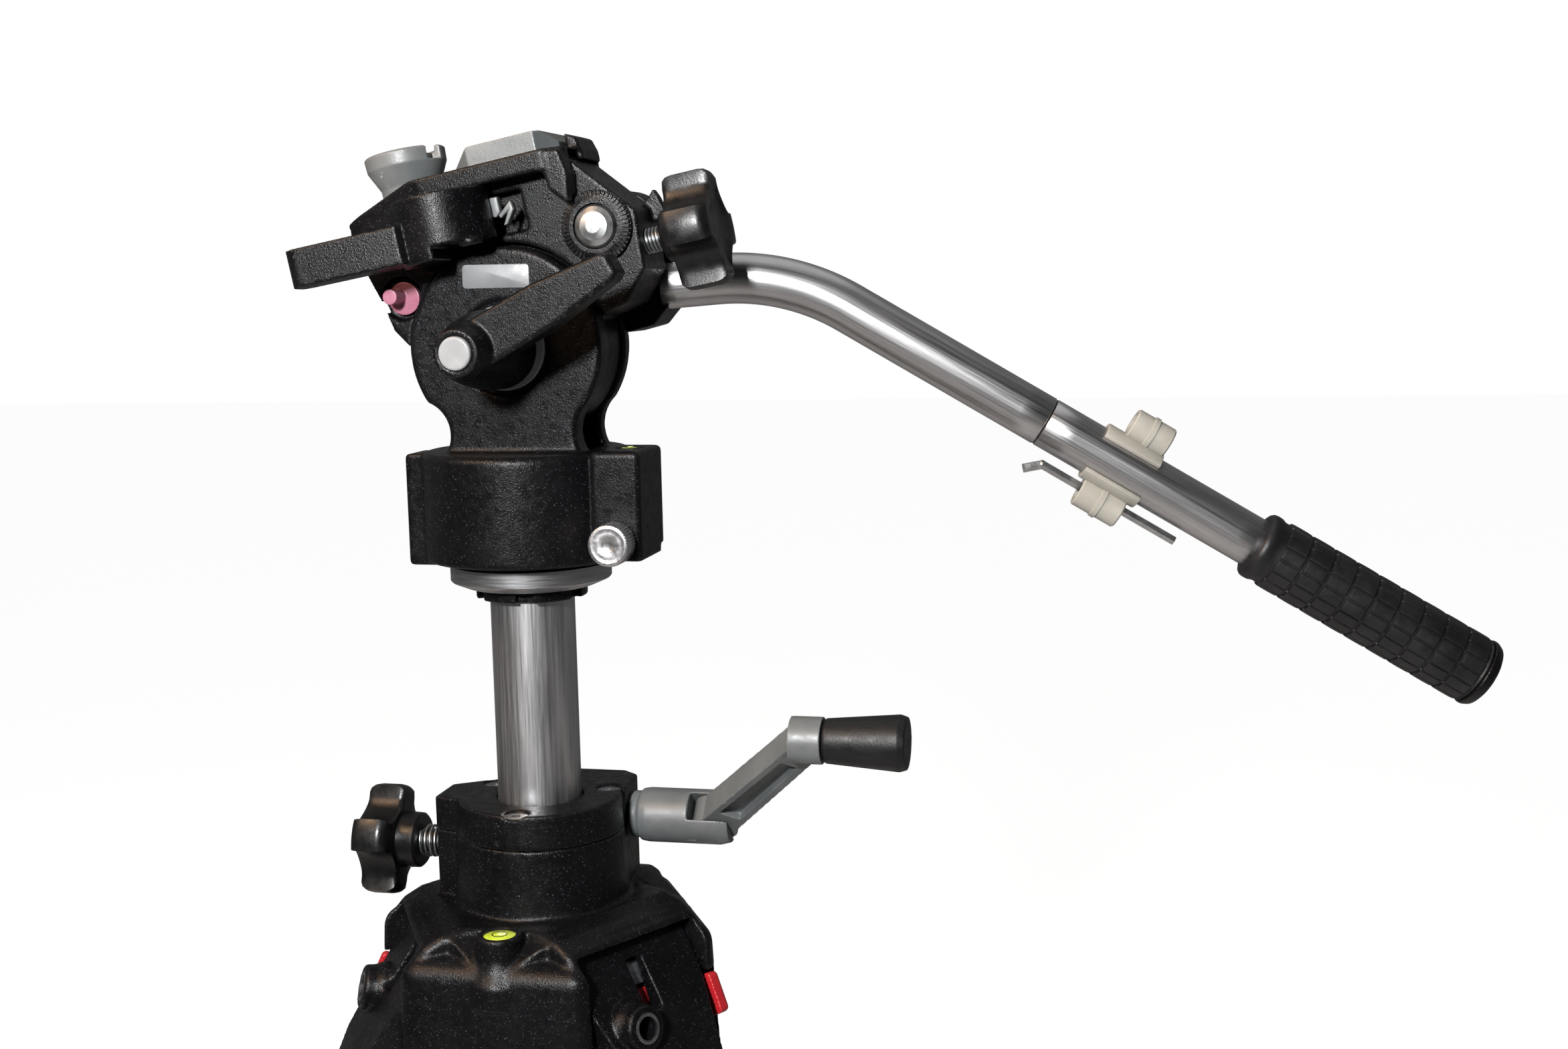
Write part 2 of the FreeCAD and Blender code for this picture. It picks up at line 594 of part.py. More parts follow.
def platform():
    """The camera platform: flat rear part with the plate's seat, falling nose and near claw."""
    body = slab_xy([(-50, -13), (-42, -17), (-16, -24), (30, -24), (36, -18), (36, 18), (30, 24),
                    (-16, 24), (-42, 17), (-50, 13)], 46.5, 61.5)
    body = rounded(body, 3.0, lambda e: runs_along(e, Z_AXIS))
    body = body.cut(over_nose())
    body = body.cut(box((-18, 40), (-30, 30), (40, 54.6)))
    body = body.cut(box((-60, 40), (-WALL_HALF - 0.1, WALL_HALF + 0.1), (40, 60.6)))
    claw = slab_xz([(24, 61.4), (35.5, 60), (37, 52), (35.4, 43.0), (34, 42.6), (29.4, 47.5),
                    (28.4, 54), (24, 55)], -23.4, -WALL_HALF - 0.3)
    jaw = slab_xz([(32.4, 59.3), (37.4, 57.2), (37.4, 61), (36.0, 65.5), (32.4, 67.3)], -4, 16)
    body = body.fuse([claw, jaw])
    body = body.cut(slab_xy(plate_outline(0.5), 57.8, 70))
    body = body.cut(cyl(17.2, 31.0, 54.6, V(-9, -24, 0)))
    body = body.cut(cyl(POST_ROOT_R + 0.05, 46, 64, V(POST_X, 0, 0)))
    rosette_room = cyl(12.6, -18.4, -10, V(ROSETTE[0], 0, ROSETTE[1]), Y_AXIS)
    return level(body.cut(rosette_room))


def plate_outline(grow):
    """The camera plate's outline in plan."""
    return [(-12.4 - grow, 0), (1 - grow / 2, -17 - grow), (26 + grow, -17 - grow),
            (31.5 + grow, -8 - grow), (31.5 + grow, 8 + grow), (26 + grow, 17 + grow),
            (1 - grow / 2, 17 + grow)]


def camera_plate():
    """The six-sided camera plate, bevelled at the rear, with its screw's hole."""
    body = slab_xy(plate_outline(0), 58.2, PLATE_TOP)
    body = body.cut(slab_xz([(-16, 59.5), (-13, 61.5), (2, PLATE_TOP), (2, 72), (-16, 72)], -30, 30))
    body = body.cut(slab_xz([(27.5, PLATE_TOP), (33, 63), (40, 63), (40, 72), (27.5, 72)], -30, 30))
    body = body.cut(cyl(6.2, 50, 67, V(8, 0, 0)))
    return level(body.cut(cyl(3.3, 60, 80, V(8, 0, 0))))


def camera_screw():
    """The captive quarter-inch camera screw, dropped into its plate."""
    return level(turned([(0, 59.4), (6.0, 59.4), (6.0, 61.4), (3.1, 61.4), (3.1, PLATE_TOP - 0.4),
                          (0, PLATE_TOP - 0.4)],
                        V(8, 0, 0)))


def front_post():
    """The flared grey post on the nose, with a notch in its rim."""
    body = turned([(0, 54), (10.4, 54), (10.6, 62.4), (14.0, 69.4), (14.2, 73.8), (13.4, 74.4),
                   (12.2, 74.4), (12.0, 72.0), (0, 72.0)], V(POST_X, 0, 0))
    body = body.cut(slab_xz([(-60, 40), (-10, 40), (-10, 62.9), (-20, 61.4), (-52, 52.1),
                             (-60, 49.8)], -30, 30))
    body = body.fuse(cyl(POST_ROOT_R, 53.5, 63, V(POST_X, 0, 0)))
    return level(body.cut(box((-17, -10), (-8, -2), (69.6, 76))))


def fluid_plug():
    """The pink plug and its pin at the body's front."""
    plug = cyl(5.7, -12.2, -10, V(-34.5, 0, 24.3), Y_AXIS)
    pin = cyl(2.6, -20, -12, V(-36.2, 0, 25.3), Y_AXIS)
    return level(plug.fuse(pin))


def rosette():
    """The toothed ring on the near wall."""
    centre = V(ROSETTE[0], 0, ROSETTE[1])
    body = turned([(7.7, 0.02), (12.2, 0.02), (12.2, 2.2), (11.6, 3.0), (9.0, 3.6), (7.7, 3.6)],
                  centre + V(0, -WALL_HALF, 0), -Y_AXIS)
    groove = slab_xz([(9.0, 0), (12.6, 0.34), (12.6, -0.34)], -WALL_HALF - 4, -WALL_HALF - 2.0)
    teeth = []
    for k in range(48):
        tooth = spun(groove, 7.5 * k, V(0, 0, 0), Y_AXIS)
        tooth.translate(centre)
        teeth.append(tooth)
    return level(body.cut(Part.makeCompound(teeth)))


def bar_screw():
    """The dome-headed screw that the pan bar turns on."""
    dome = [(0, 0.1), (7.4, 0.1), (7.4, 2.6), (6.6, 4.2), (4.8, 5.4), (2.4, 6.1), (0, 6.3)]
    head = turned(dome, V(ROSETTE[0], -WALL_HALF, ROSETTE[1]), -Y_AXIS)
    shank = cyl(3.98, -WALL_HALF - 1, 27.0, V(ROSETTE[0], 0, ROSETTE[1]), Y_AXIS)
    return level(head.fuse(shank))


def safety_catch():
    """The grey catch in the near wall's window."""
    body = slab_xy([(8.2, -20), (14.6, -20), (14.6, -12.4), (6.4, -12.4), (6.4, -15.5)], 40, 50)
    body = rounded(body, 1.2, lambda e: runs_along(e, Z_AXIS))
    return level(body.cut(cyl(2.6, -30, -10, V(10.6, 0, 45), Y_AXIS)))


def quick_lever():
    """The quick release lever: a round boss under the platform and a long arm."""
    boss = cyl(16.4, 36.6, 54.2, V(-9, -24, 0))
    lip = slab_xy([(-9, -24), (-29, -24), (-29, -44), (-9, -44)], 32.2, 37)
    lip = lip.common(cyl(16.4, 32, 38, V(-9, -24, 0)))
    arm = slab_xy([(-14, -26), (-20, -40.2), (-57, -43.5), (-60, -41), (-61, -33), (-58, -30.5),
                   (-26, -25)], 33.2, 46.2)
    arm = rounded(arm, 2.0, lambda e: runs_along(e, Z_AXIS) and e.Vertexes[0].X < -50)
    stub = cyl(4.2, 35.2, 37, V(2, -32, 0))
    return level(boss.fuse([lip, arm, stub]))


def bar_lock_knob():
    """The four-lobed knob behind the tilting body, with its stud."""
    knob = lobed_knob(19.7, 17.0, 9.0, 3.0, 4.0, 16.0, 42)
    knob.Placement = FreeCAD.Placement(V(60.5, -5, 25.2), FreeCAD.Rotation(Z_AXIS, X_AXIS))
    return level(knob)


# ---------------------------------------------------------------- pan bar

def bar_frame(shape):
    """From the bar's own frame, x out and z up from its inner end, to the rest pose."""
    copy = shape.copy()
    copy.rotate(V(0, 0, 0), Z_AXIS, BAR_YAW)
    copy.translate(BAR_START + V(0, 0, RING_Z))
    return copy


RISE = V(math.cos(math.radians(BAR_RISE)), 0, math.sin(math.radians(BAR_RISE)))
FALL = V(math.cos(math.radians(BAR_FALL)), 0, -math.sin(math.radians(BAR_FALL)))
UP = V(math.sin(math.radians(BAR_FALL)), 0, math.cos(math.radians(BAR_FALL)))
CORNER = RISE * BAR_CORNER
BEND_LEG = BAR_BEND_R * math.tan(math.radians((BAR_RISE + BAR_FALL) / 2))


def on_bar(distance, height=0.0):
    """A point at a distance past the bend's corner, at a height over the bar's axis."""
    return CORNER + FALL * distance + UP * height


def bar_front_tube():
    """The bent front tube."""
    bend_in = CORNER - RISE * BEND_LEG
    bend_out = CORNER + FALL * BEND_LEG
    inward = V(RISE.z, 0, -RISE.x)
    centre = bend_in + inward * BAR_BEND_R
    middle = centre + (CORNER - centre).normalize() * BAR_BEND_R
    path = Part.Wire([Part.LineSegment(V(0, 0, 0), bend_in).toShape(),
                      Part.Arc(bend_in, middle, bend_out).toShape(),
                      Part.LineSegment(bend_out, on_bar(BAR_SEAM - 0.15)).toShape()])
    solids = [path.makePipeShell([Part.Wire(Part.makeCircle(r, V(0, 0, 0), RISE))], True, False)
              for r in (BAR_R, BAR_R - 1.5)]
    return bar_frame(solids[0].cut(solids[1]))


def bar_rear_tube():
    """The straight rear tube with the plug that joins it to the front one."""
    tube = ring(BAR_R, BAR_R - 1.5, BAR_SEAM + 0.15, GRIP_END - 2, CORNER, FALL)
    plug = cyl(BAR_R - 1.54, BAR_SEAM - 18, BAR_SEAM + 0.15, CORNER, FALL)
    root = cyl(BAR_R - 1.5, BAR_SEAM + 0.15, BAR_SEAM + 18, CORNER, FALL)
    return bar_frame(tube.fuse([root, plug]))


def bar_bracket():
    """The far-side bracket: a rosette boss, an arm and the clamp that holds the tube."""
    centre = level(Part.Vertex(ROSETTE[0], 0, ROSETTE[1])).Point
    boss = cyl(13.0, FAR_WALL + 0.4, 27.5, V(centre.x, 0, centre.z), Y_AXIS)
    web = slab_xz([(24, 9), (33, 3.5), (43, 6), (49, 13), (50.5, 30), (46, 46), (22, 46), (20, 30)],
                  CHEEK_REAR + 1, 37)
    web = rounded(web, 2.0, lambda e: runs_along(e, Y_AXIS))
    web.translate(V(0, 0, TILT_Z))
    body = boss.fuse(web)
    socket = bar_frame(cyl(BAR_R, -2, 40, V(0, 0, 0), RISE))
    body = body.cut(socket)
    body = body.cut(cyl(4.04, -30, 60, V(centre.x, 0, centre.z), Y_AXIS))
    pin = cyl(2.7, 35, 38.2, V(34.2, 0, TILT_Z + 11.0), Y_AXIS)
    return body.fuse(pin)


def bar_clips():
    """Two plastic clips: a saddle on the bar with a sleeve over it, above and below."""
    clips = []
    for hand, sleeve_at in ((1, 6.0), (-1, 0.0)):
        saddle = ring(BAR_R + 1.6, BAR_R + 0.02, CLIP_AT - 9, CLIP_AT + 9, CORNER, FALL)
        keep = Part.makeBox(40, 13, 8, V(-20, -6.5, 0))
        keep.Placement = FreeCAD.Placement(on_bar(CLIP_AT, hand * 5.4),
                                           FreeCAD.Rotation(FALL, Y_AXIS, UP * hand, "ZXY"))
        spot = on_bar(CLIP_AT + sleeve_at, hand * (BAR_R + 4.6))
        sleeve = cyl(4.6, -6.5, 6.5, spot, FALL)
        neck = cyl(3.6, -6.5, 6.5, on_bar(CLIP_AT + sleeve_at, hand * (BAR_R + 2.4)), FALL)
        clip = saddle.common(keep).fuse([sleeve, neck.cut(cyl(BAR_R + 0.02, 0, 200, CORNER, FALL))])
        clips.append(clip.cut(cyl(2.0 if hand < 0 else 3.4, -9, 9, spot, FALL)))
    return bar_frame(Part.makeCompound(clips))


def hex_key():
    """The hexagon key through the lower clip's sleeve."""
    across = 3.0 / math.sqrt(3)
    height = -(BAR_R + 4.6)
    angles = [math.radians(60 * k) for k in range(6)]
    start = on_bar(112.0, height)
    section = [start + Y_AXIS * (across * math.cos(a)) + UP * (across * math.sin(a)) for a in angles]
    shaft = face_of(section).extrude(FALL * 54.0)
    hook_dir = (FALL * -0.75 - UP * 0.66).normalize()
    side = hook_dir.cross(Y_AXIS)
    hook = [start + Y_AXIS * (across * math.cos(a)) + side * (across * math.sin(a)) for a in angles]
    bent = face_of(hook).extrude(hook_dir * 7.0)
    return bar_frame(shaft.fuse([bent, Part.makeSphere(1.62, start)]))


def handle_grip():
    """The rubber grip: rows of pads with a collar at its inner end."""
    body = turned([(BAR_R + 0.05, 0), (11.6, 0), (12.4, 0.8), (12.4, 4.0), (11.2, 5.2), (GRIP_R, 6.4),
                   (GRIP_R, GRIP_END - GRIP_AT), (BAR_R + 0.05, GRIP_END - GRIP_AT)])
    groove_r = GRIP_R - 0.7
    step = (GRIP_END - GRIP_AT - 8) / 9
    for k in range(1, 9):
        at = 6.4 + k * step
        body = body.cut(ring(GRIP_R + 2, groove_r, at - 0.6, at + 0.6))
    body.Placement = FreeCAD.Placement(on_bar(GRIP_AT), FreeCAD.Rotation(Z_AXIS, FALL))
    return bar_frame(body)


def handle_end_cap():
    """The dark rounded cap on the grip's end."""
    body = turned([(0, GRIP_END + 0.05), (GRIP_R, GRIP_END + 0.05), (GRIP_R, BAR_END - 3.0),
                   (GRIP_R - 1.0, BAR_END - 1.0), (GRIP_R - 3.0, BAR_END), (0, BAR_END)],
                  CORNER, FALL)
    return bar_frame(body)


# ---------------------------------------------------------------- legs (own frame)

def leg_frame(shape, azimuth):
    """From a leg's own frame, x outward and z up along it from the hinge, to the rest pose."""
    copy = shape.copy()
    copy.rotate(V(0, 0, 0), Y_AXIS, -LEG_SPREAD)
    copy.translate(V(HINGE_R, 0, HINGE_Z))
    copy.rotate(V(0, 0, 0), Z_AXIS, azimuth)
    return copy


def rectangle(x, y, z):
    """A rectangle's wire from two (low, high) pairs at one height."""
    corners = [V(x[0], y[0], z), V(x[1], y[0], z), V(x[1], y[1], z), V(x[0], y[1], z)]
    return Part.makePolygon(corners + corners[:1])


def leg_casting(side):
    """The leg's top casting: hinge block, slotted face, accessory boss and tube socket."""
    half = LEG_WIDTH / 2
    block = slab_xz([(15.8, 18), (4, 18.4), (-9, 7.5), (-12, 0), (18.2, 0), (16, 14)], -half, half)
    sections = [rectangle((-12, 18.2), (-half, half), 0), rectangle((-12.5, 23), (-20, 20), -30),
                rectangle((-14, 22.5), (-18.4, 18.4), -48), rectangle((-16.5, 17), (-17, 17), -86)]
    taper = Part.makeLoft(sections, True, True)
    body = block.fuse([taper, cyl(18.5, -112, -80)])
    tilt = math.radians(BOSS_TILT)
    mouth = V(26, BOSS_Y, -13)
    outward = V(math.cos(tilt), 0, -math.sin(tilt))
    boss = turned([(0, -10), (10.0, -10), (9.8, -6.6), (8.9, -5.0), (8.2, -3.6), (7.9, -0.7),
                   (7.3, 0), (0, 0)], mouth, outward)
    body = body.fuse(boss)
    body = body.cut(box((-7, 12.5), (-13, 13), (-60, 13)))
    body = body.cut(rounded(box((10, 22), (-3.5, 3.5), (-8.5, 11)), 1.2,
                            lambda e: runs_along(e, X_AXIS)))
    low, high = sorted((side * 10, side * 30))
    body = body.cut(box((2.6, 12.5), (low, high), (-24, 2)))
    body = body.fuse(cyl(7.0, -SOCKET_DEPTH, -5, mouth, outward))
    body = body.cut(cyl(SOCKET_R, -SOCKET_DEPTH - 1, 1, mouth, outward))
    body = body.cut(cyl(4.06, -half - 1, half + 1, V(0, 0, 0), Y_AXIS))
    return body.cut(cyl(UPPER_TUBE_R, -120, -60))


def leg_tube(outer, wall, top, bottom, collar_r, bore):
    """A leg tube with its clamp collar round its lower end."""
    tube = ring(outer, outer - wall, bottom + 4, top)
    grip = turned([(bore, bottom), (collar_r - 1, bottom), (collar_r, bottom + 1.5),
                   (collar_r, bottom + 34), (outer + 1.2, bottom + 40), (outer, bottom + 40),
                   (outer, bottom + 4), (bore, bottom + 4)])
    return tube.fuse(grip)


def foot():
    """The rubber foot, flat where it stands."""
    end = -LEG_LENGTH
    body = turned([(0, end - 6), (FOOT_R - 2, end - 6), (FOOT_R - 2, end + 8), (13.2, end + 26),
                   (LOWER_TUBE_R + 0.02, end + 26), (LOWER_TUBE_R + 0.02, end + 12), (0, end + 12)])
    return body.fuse(Part.makeSphere(FOOT_R, V(0, 0, end))).cut(
        cyl(LOWER_TUBE_R + 0.02, end + 12, end + 30))


def release_lever(side):
    """The red lever that frees the leg's sections, through the casting's side."""
    inner = box((4.5, 8.4), (-9, 28), (-17, 1))
    tab = box((4.5, 19.5), (27.8, 32.6), (-18.5, -3.5))
    tab = rounded(tab, 1.8, lambda e: runs_along(e, Y_AXIS) or lies_at(e, Y_AXIS, 32.6))
    lever = inner.fuse(tab)
    return lever if side > 0 else lever.mirror(V(0, 0, 0), Y_AXIS)


def legs(side):
    """The pieces of one leg in its own frame, with its lever on one side."""
    return {
        "casting": leg_casting(side),
        "upper_tube": leg_tube(UPPER_TUBE_R, 1.7, -62, -412, 19.0, MIDDLE_TUBE_R + 0.05),
        "middle_tube": leg_tube(MIDDLE_TUBE_R, 1.5, -230, -635, 16.5, LOWER_TUBE_R + 0.05),
        "lower_tube": ring(LOWER_TUBE_R, LOWER_TUBE_R - 1.5, 13 - LEG_LENGTH, -420),
        "foot": foot(),
        "release_lever": release_lever(side),
    }


NODES = {
    "crown_casting": crown_casting, "collar_cap": collar_cap, "cap_screws": cap_screws,
    "column_sleeve": column_sleeve, "spirit_level": spirit_level, "hinge_pins": hinge_pins,
    "column_tube": column_tube, "column_rack": column_rack, "column_foot": column_foot,
    "column_head_disc": column_head_disc, "head_ring": head_ring, "pan_spindle": pan_spindle,
    "crank_shaft": crank_shaft, "crank_hub": crank_hub, "crank_arm": crank_arm,
    "crank_latch": crank_latch, "crank_grip": crank_grip,
    "column_lock_knob": column_lock_knob, "column_lock_spring": column_lock_spring,
    "pan_housing": pan_housing, "tilt_axle": tilt_axle, "pan_drag_knob": pan_drag_knob,
    "tilt_lever": tilt_lever, "tilt_lever_cap": tilt_lever_cap,
    "tilt_casting": tilt_casting, "platform": platform, "fluid_plug": fluid_plug,
    "rosette": rosette, "bar_screw": bar_screw, "front_post": front_post,
    "safety_catch": safety_catch, "quick_lever": quick_lever, "camera_plate": camera_plate,
    "camera_screw": camera_screw, "bar_lock_knob": bar_lock_knob,
    "bar_bracket": bar_bracket, "bar_front_tube": bar_front_tube, "bar_rear_tube": bar_rear_tube,
    "bar_clips": bar_clips, "handle_grip": handle_grip, "handle_end_cap": handle_end_cap,
    "hex_key": hex_key,
}

os.makedirs("parts", exist_ok=True)
for node, make in NODES.items():
    save(node, make())
for number, (azimuth, side) in enumerate(zip(LEG_AZIMUTHS, LEVER_SIDES), 1):
    for piece, shape in legs(side).items():
        placed = leg_frame(shape, azimuth)
        if piece == "foot":
            placed = placed.cut(box((-999, 999), (-999, 999), (-99, 0)))
        save("leg_%d_%s" % (number, piece), placed)
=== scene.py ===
import bpy, bmesh, math, json
from mathutils import Vector, Matrix


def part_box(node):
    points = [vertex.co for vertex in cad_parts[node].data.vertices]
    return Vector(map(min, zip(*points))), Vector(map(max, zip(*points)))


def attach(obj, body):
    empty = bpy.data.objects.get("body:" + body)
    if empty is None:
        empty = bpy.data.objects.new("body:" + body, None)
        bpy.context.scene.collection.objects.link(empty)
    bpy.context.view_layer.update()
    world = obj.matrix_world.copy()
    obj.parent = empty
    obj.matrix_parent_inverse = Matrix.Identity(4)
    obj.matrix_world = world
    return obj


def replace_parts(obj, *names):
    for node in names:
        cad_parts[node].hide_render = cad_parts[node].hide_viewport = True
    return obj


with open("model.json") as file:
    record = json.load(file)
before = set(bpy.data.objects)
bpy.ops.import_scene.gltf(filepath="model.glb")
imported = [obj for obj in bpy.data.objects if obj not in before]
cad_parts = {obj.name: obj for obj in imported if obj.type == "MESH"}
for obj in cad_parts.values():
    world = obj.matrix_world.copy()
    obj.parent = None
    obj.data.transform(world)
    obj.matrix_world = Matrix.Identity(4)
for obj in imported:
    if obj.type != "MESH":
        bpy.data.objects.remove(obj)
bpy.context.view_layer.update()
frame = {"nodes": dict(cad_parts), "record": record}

# ------------------------------------------------------------------ the frame's own places
MM = 0.001
COLUMN_Y = (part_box("column_tube")[0][1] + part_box("column_tube")[1][1]) / 2
CAP_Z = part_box("collar_cap")[1][2]
PITCH = 11
LEG_SPREAD = 26
BOSS_TILT = 11
CLIP_AT = 136
RING_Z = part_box("head_ring")[1][2] - 6 * MM
TILT_Z = RING_Z + 82 * MM


def at_column(x, y, z):
    """A point given in millimetres from the column's axis at the cap's top."""
    return Vector((x * MM, y * MM + COLUMN_Y, z * MM + CAP_Z))


# ------------------------------------------------------------------ camera
def place_camera():
    data = bpy.data.cameras.new("camera")
    data.sensor_width = 36.0
    data.lens = 43.02
    camera = bpy.data.objects.new("camera", data)
    bpy.context.scene.collection.objects.link(camera)
    pitch, roll, yaw, turn = 0.1323, 0.0208, 0.1359, 0.3554
    forward = Vector((math.sin(yaw) * math.cos(pitch), math.cos(yaw) * math.cos(pitch),
                      -math.sin(pitch)))
    right = Vector((math.cos(yaw), -math.sin(yaw), 0))
    up = right.cross(forward)
    right, up = (math.cos(roll) * right - math.sin(roll) * up,
                 math.sin(roll) * right + math.cos(roll) * up)
    spin = Matrix.Rotation(turn, 3, "Z")
    axes = Matrix((spin @ right, spin @ up, spin @ -forward)).transposed()
    spot = spin @ Vector((0, -666.1, 184.33))
    camera.matrix_world = Matrix.Translation(at_column(*spot)) @ axes.to_4x4()
    bpy.context.scene.camera = camera


place_camera()


# ------------------------------------------------------------------ lights and floor
def area_light(name, spot, aim, size, power, colour=(1, 1, 1)):
    data = bpy.data.lights.new(name, "AREA")
    data.shape = "DISK"
    data.size = size
    data.energy = power
    data.color = colour
    lamp = bpy.data.objects.new(name, data)
    lamp.location = spot
    lamp.rotation_euler = (Vector(aim) - Vector(spot)).to_track_quat("-Z", "Y").to_euler()
    bpy.context.scene.collection.objects.link(lamp)


def white_to_camera(tree, dim, bright):
    """A strength that is bright where the backdrop itself is seen and dim as a light."""
    ray = tree.nodes.new("ShaderNodeLightPath")
    pick = tree.nodes.new("ShaderNodeMix")
    pick.inputs[3].default_value = bright
    if isinstance(dim, float):
        pick.inputs[2].default_value = dim
    else:
        tree.links.new(dim, pick.inputs[2])
    tree.links.new(ray.outputs["Is Camera Ray"], pick.inputs[0])
    return pick.outputs[0]


def studio():
    """A white backdrop that lights little, a small key lamp, a warm lamp and two soft ones."""
    bpy.context.scene.view_settings.view_transform = "Standard"
    world = bpy.data.worlds.new("studio")
    bpy.context.scene.world = world
    world.use_nodes = True
    tree = world.node_tree
    back = tree.nodes["Background"]
    back.inputs["Color"].default_value = (1.0, 1.0, 1.0, 1)
    place = tree.nodes.new("ShaderNodeTexCoord")
    split = tree.nodes.new("ShaderNodeSeparateXYZ")
    fade = tree.nodes.new("ShaderNodeMapRange")
    for key, number in (("From Min", -0.6), ("From Max", 0.6), ("To Min", 0.012), ("To Max", 0.15)):
        fade.inputs[key].default_value = number
    tree.links.new(place.outputs["Generated"], split.inputs["Vector"])
    tree.links.new(split.outputs["Y"], fade.inputs["Value"])
    tree.links.new(white_to_camera(tree, fade.outputs["Result"], 1.0), back.inputs["Strength"])
    aim = at_column(20, 0, 80)
    area_light("key", at_column(0, -800, 400), aim, 0.10, 13.0)
    area_light("warm", at_column(-420, -520, 700), aim, 0.35, 5.0, (1.0, 0.62, 0.36))
    area_light("soft", at_column(-900, -600, 700), aim, 0.8, 1.6)
    area_light("top", at_column(100, 250, 1300), aim, 1.2, 2.5)
    far = 14.0
    low = -0.0005
    mesh = bpy.data.meshes.new("floor")
    mesh.from_pydata([(-far, -far, low), (far, -far, low), (far, far, low), (-far, far, low)], [],
                     [(0, 1, 2, 3)])
    floor = bpy.data.objects.new("floor", mesh)
    bpy.context.scene.collection.objects.link(floor)
    paint = bpy.data.materials.new("floor_paint")
    paint.use_nodes = True
    shader = paint.node_tree.nodes["Principled BSDF"]
    shader.inputs["Base Color"].default_value = (0.85, 0.85, 0.85, 1)
    shader.inputs["Roughness"].default_value = 0.9
    shader.inputs["Emission Color"].default_value = (1, 1, 1, 1)
    tree = paint.node_tree
    tree.links.new(white_to_camera(tree, 0.02, 0.9), shader.inputs["Emission Strength"])
    mesh.materials.append(paint)


studio()


# ------------------------------------------------------------------ materials
class Nodes:
    """A material's node tree with short ways to add and join nodes."""

    def __init__(self, name):
        self.material = bpy.data.materials.new(name)
        self.material.use_nodes = True
        self.tree = self.material.node_tree
        self.shader = self.tree.nodes["Principled BSDF"]
        self.place = self.tree.nodes.new("ShaderNodeTexCoord")

    def add(self, kind, **values):
        node = self.tree.nodes.new(kind)
        for key, value in values.items():
            if key in node.inputs:
                node.inputs[key].default_value = value
            else:
                setattr(node, key, value)
        return node

    def join(self, source, target):
        self.tree.links.new(source, target)

    def noise(self, scale, detail=2.0, rough=0.5, stretch=(1, 1, 1), coords="Object"):
        mapping = self.add("ShaderNodeMapping")
        mapping.inputs["Scale"].default_value = stretch
        self.join(self.place.outputs[coords], mapping.inputs["Vector"])
        node = self.add("ShaderNodeTexNoise", Scale=scale, Detail=detail, Roughness=rough)
        self.join(mapping.outputs["Vector"], node.inputs["Vector"])
        return node.outputs["Fac"]

    def cells(self, scale):
        node = self.add("ShaderNodeTexVoronoi", feature="F1", Scale=scale)
        self.join(self.place.outputs["Object"], node.inputs["Vector"])
        return node

    def spread(self, value, low, high, out_low, out_high):
        node = self.add("ShaderNodeMapRange")
        for key, number in (("From Min", low), ("From Max", high), ("To Min", out_low),
                            ("To Max", out_high)):
            node.inputs[key].default_value = number
        self.join(value, node.inputs["Value"])
        return node.outputs["Result"]

    def mix(self, share, first, second, blend="MIX"):
        node = self.add("ShaderNodeMix", data_type="RGBA", blend_type=blend)
        for socket, given in ((node.inputs[0], share), (node.inputs[6], first),
                              (node.inputs[7], second)):
            if isinstance(given, bpy.types.NodeSocket):
                self.join(given, socket)
            elif isinstance(given, tuple):
                socket.default_value = (*given, 1)
            else:
                socket.default_value = given
        return node.outputs[2]

    def maths(self, operation, first, second):
        node = self.add("ShaderNodeMath", operation=operation)
        for socket, given in zip(node.inputs, (first, second)):
            if isinstance(given, bpy.types.NodeSocket):
                self.join(given, socket)
            else:
                socket.default_value = given
        return node.outputs[0]

    def bump(self, *layers):
        """Layers of (height, strength, distance in metres)."""
        last = None
        for height, strength, distance in layers:
            node = self.add("ShaderNodeBump", Strength=strength, Distance=distance)
            self.join(height, node.inputs["Height"])
            if last:
                self.join(last, node.inputs["Normal"])
            last = node.outputs["Normal"]
        self.join(last, self.shader.inputs["Normal"])

    def edges(self, low=0.52, high=0.6):
        """How convex the surface is: 1 along worn edges."""
        worn = self.spread(self.add("ShaderNodeNewGeometry").outputs["Pointiness"], low, high, 0, 1)
        return self.maths("MULTIPLY", worn, self.spread(self.noise(260, 3), 0.4, 0.62, 0, 1))

    def set(self, **values):
        for key, value in values.items():
            name = key.replace("_", " ")
            if isinstance(value, bpy.types.NodeSocket):
                self.join(value, self.shader.inputs[name])
            elif isinstance(value, tuple):
                self.shader.inputs[name].default_value = (*value, 1)
            else:
                self.shader.inputs[name].default_value = value


def powder_coat(name, dark, light, painted_glints, rough):
    """Textured black paint on a casting: pebbled, with painted glints (fine bright specks that stand in for
    tiny highlights) and rubbed edges.
    """
    n = Nodes(name)
    base = n.mix(n.spread(n.noise(45, 4), 0.35, 0.65, 0, 1), dark, light)
    # painted glints: sparse bluish-white specks mixed into the colour as tiny highlights
    bright = n.spread(n.cells(3400).outputs["Color"], 0.86, 0.99, 0, 1)
    base = n.mix(n.maths("MULTIPLY", bright, painted_glints), base, (0.16, 0.19, 0.24))
    base = n.mix(n.maths("MULTIPLY", n.edges(), 0.35), base, (0.06, 0.06, 0.062))
    n.set(Base_Color=base)
    n.set(Roughness=n.spread(n.noise(380, 3), 0.3, 0.7, rough - 0.08, rough + 0.10))
    n.set(Specular_IOR_Level=0.19)
    n.bump((n.noise(1300, 3, 0.6), 0.5, 0.00022), (n.cells(2300).outputs["Distance"], 0.3, 0.00016),
           (n.noise(70, 2), 0.06, 0.0004))
    return n.material


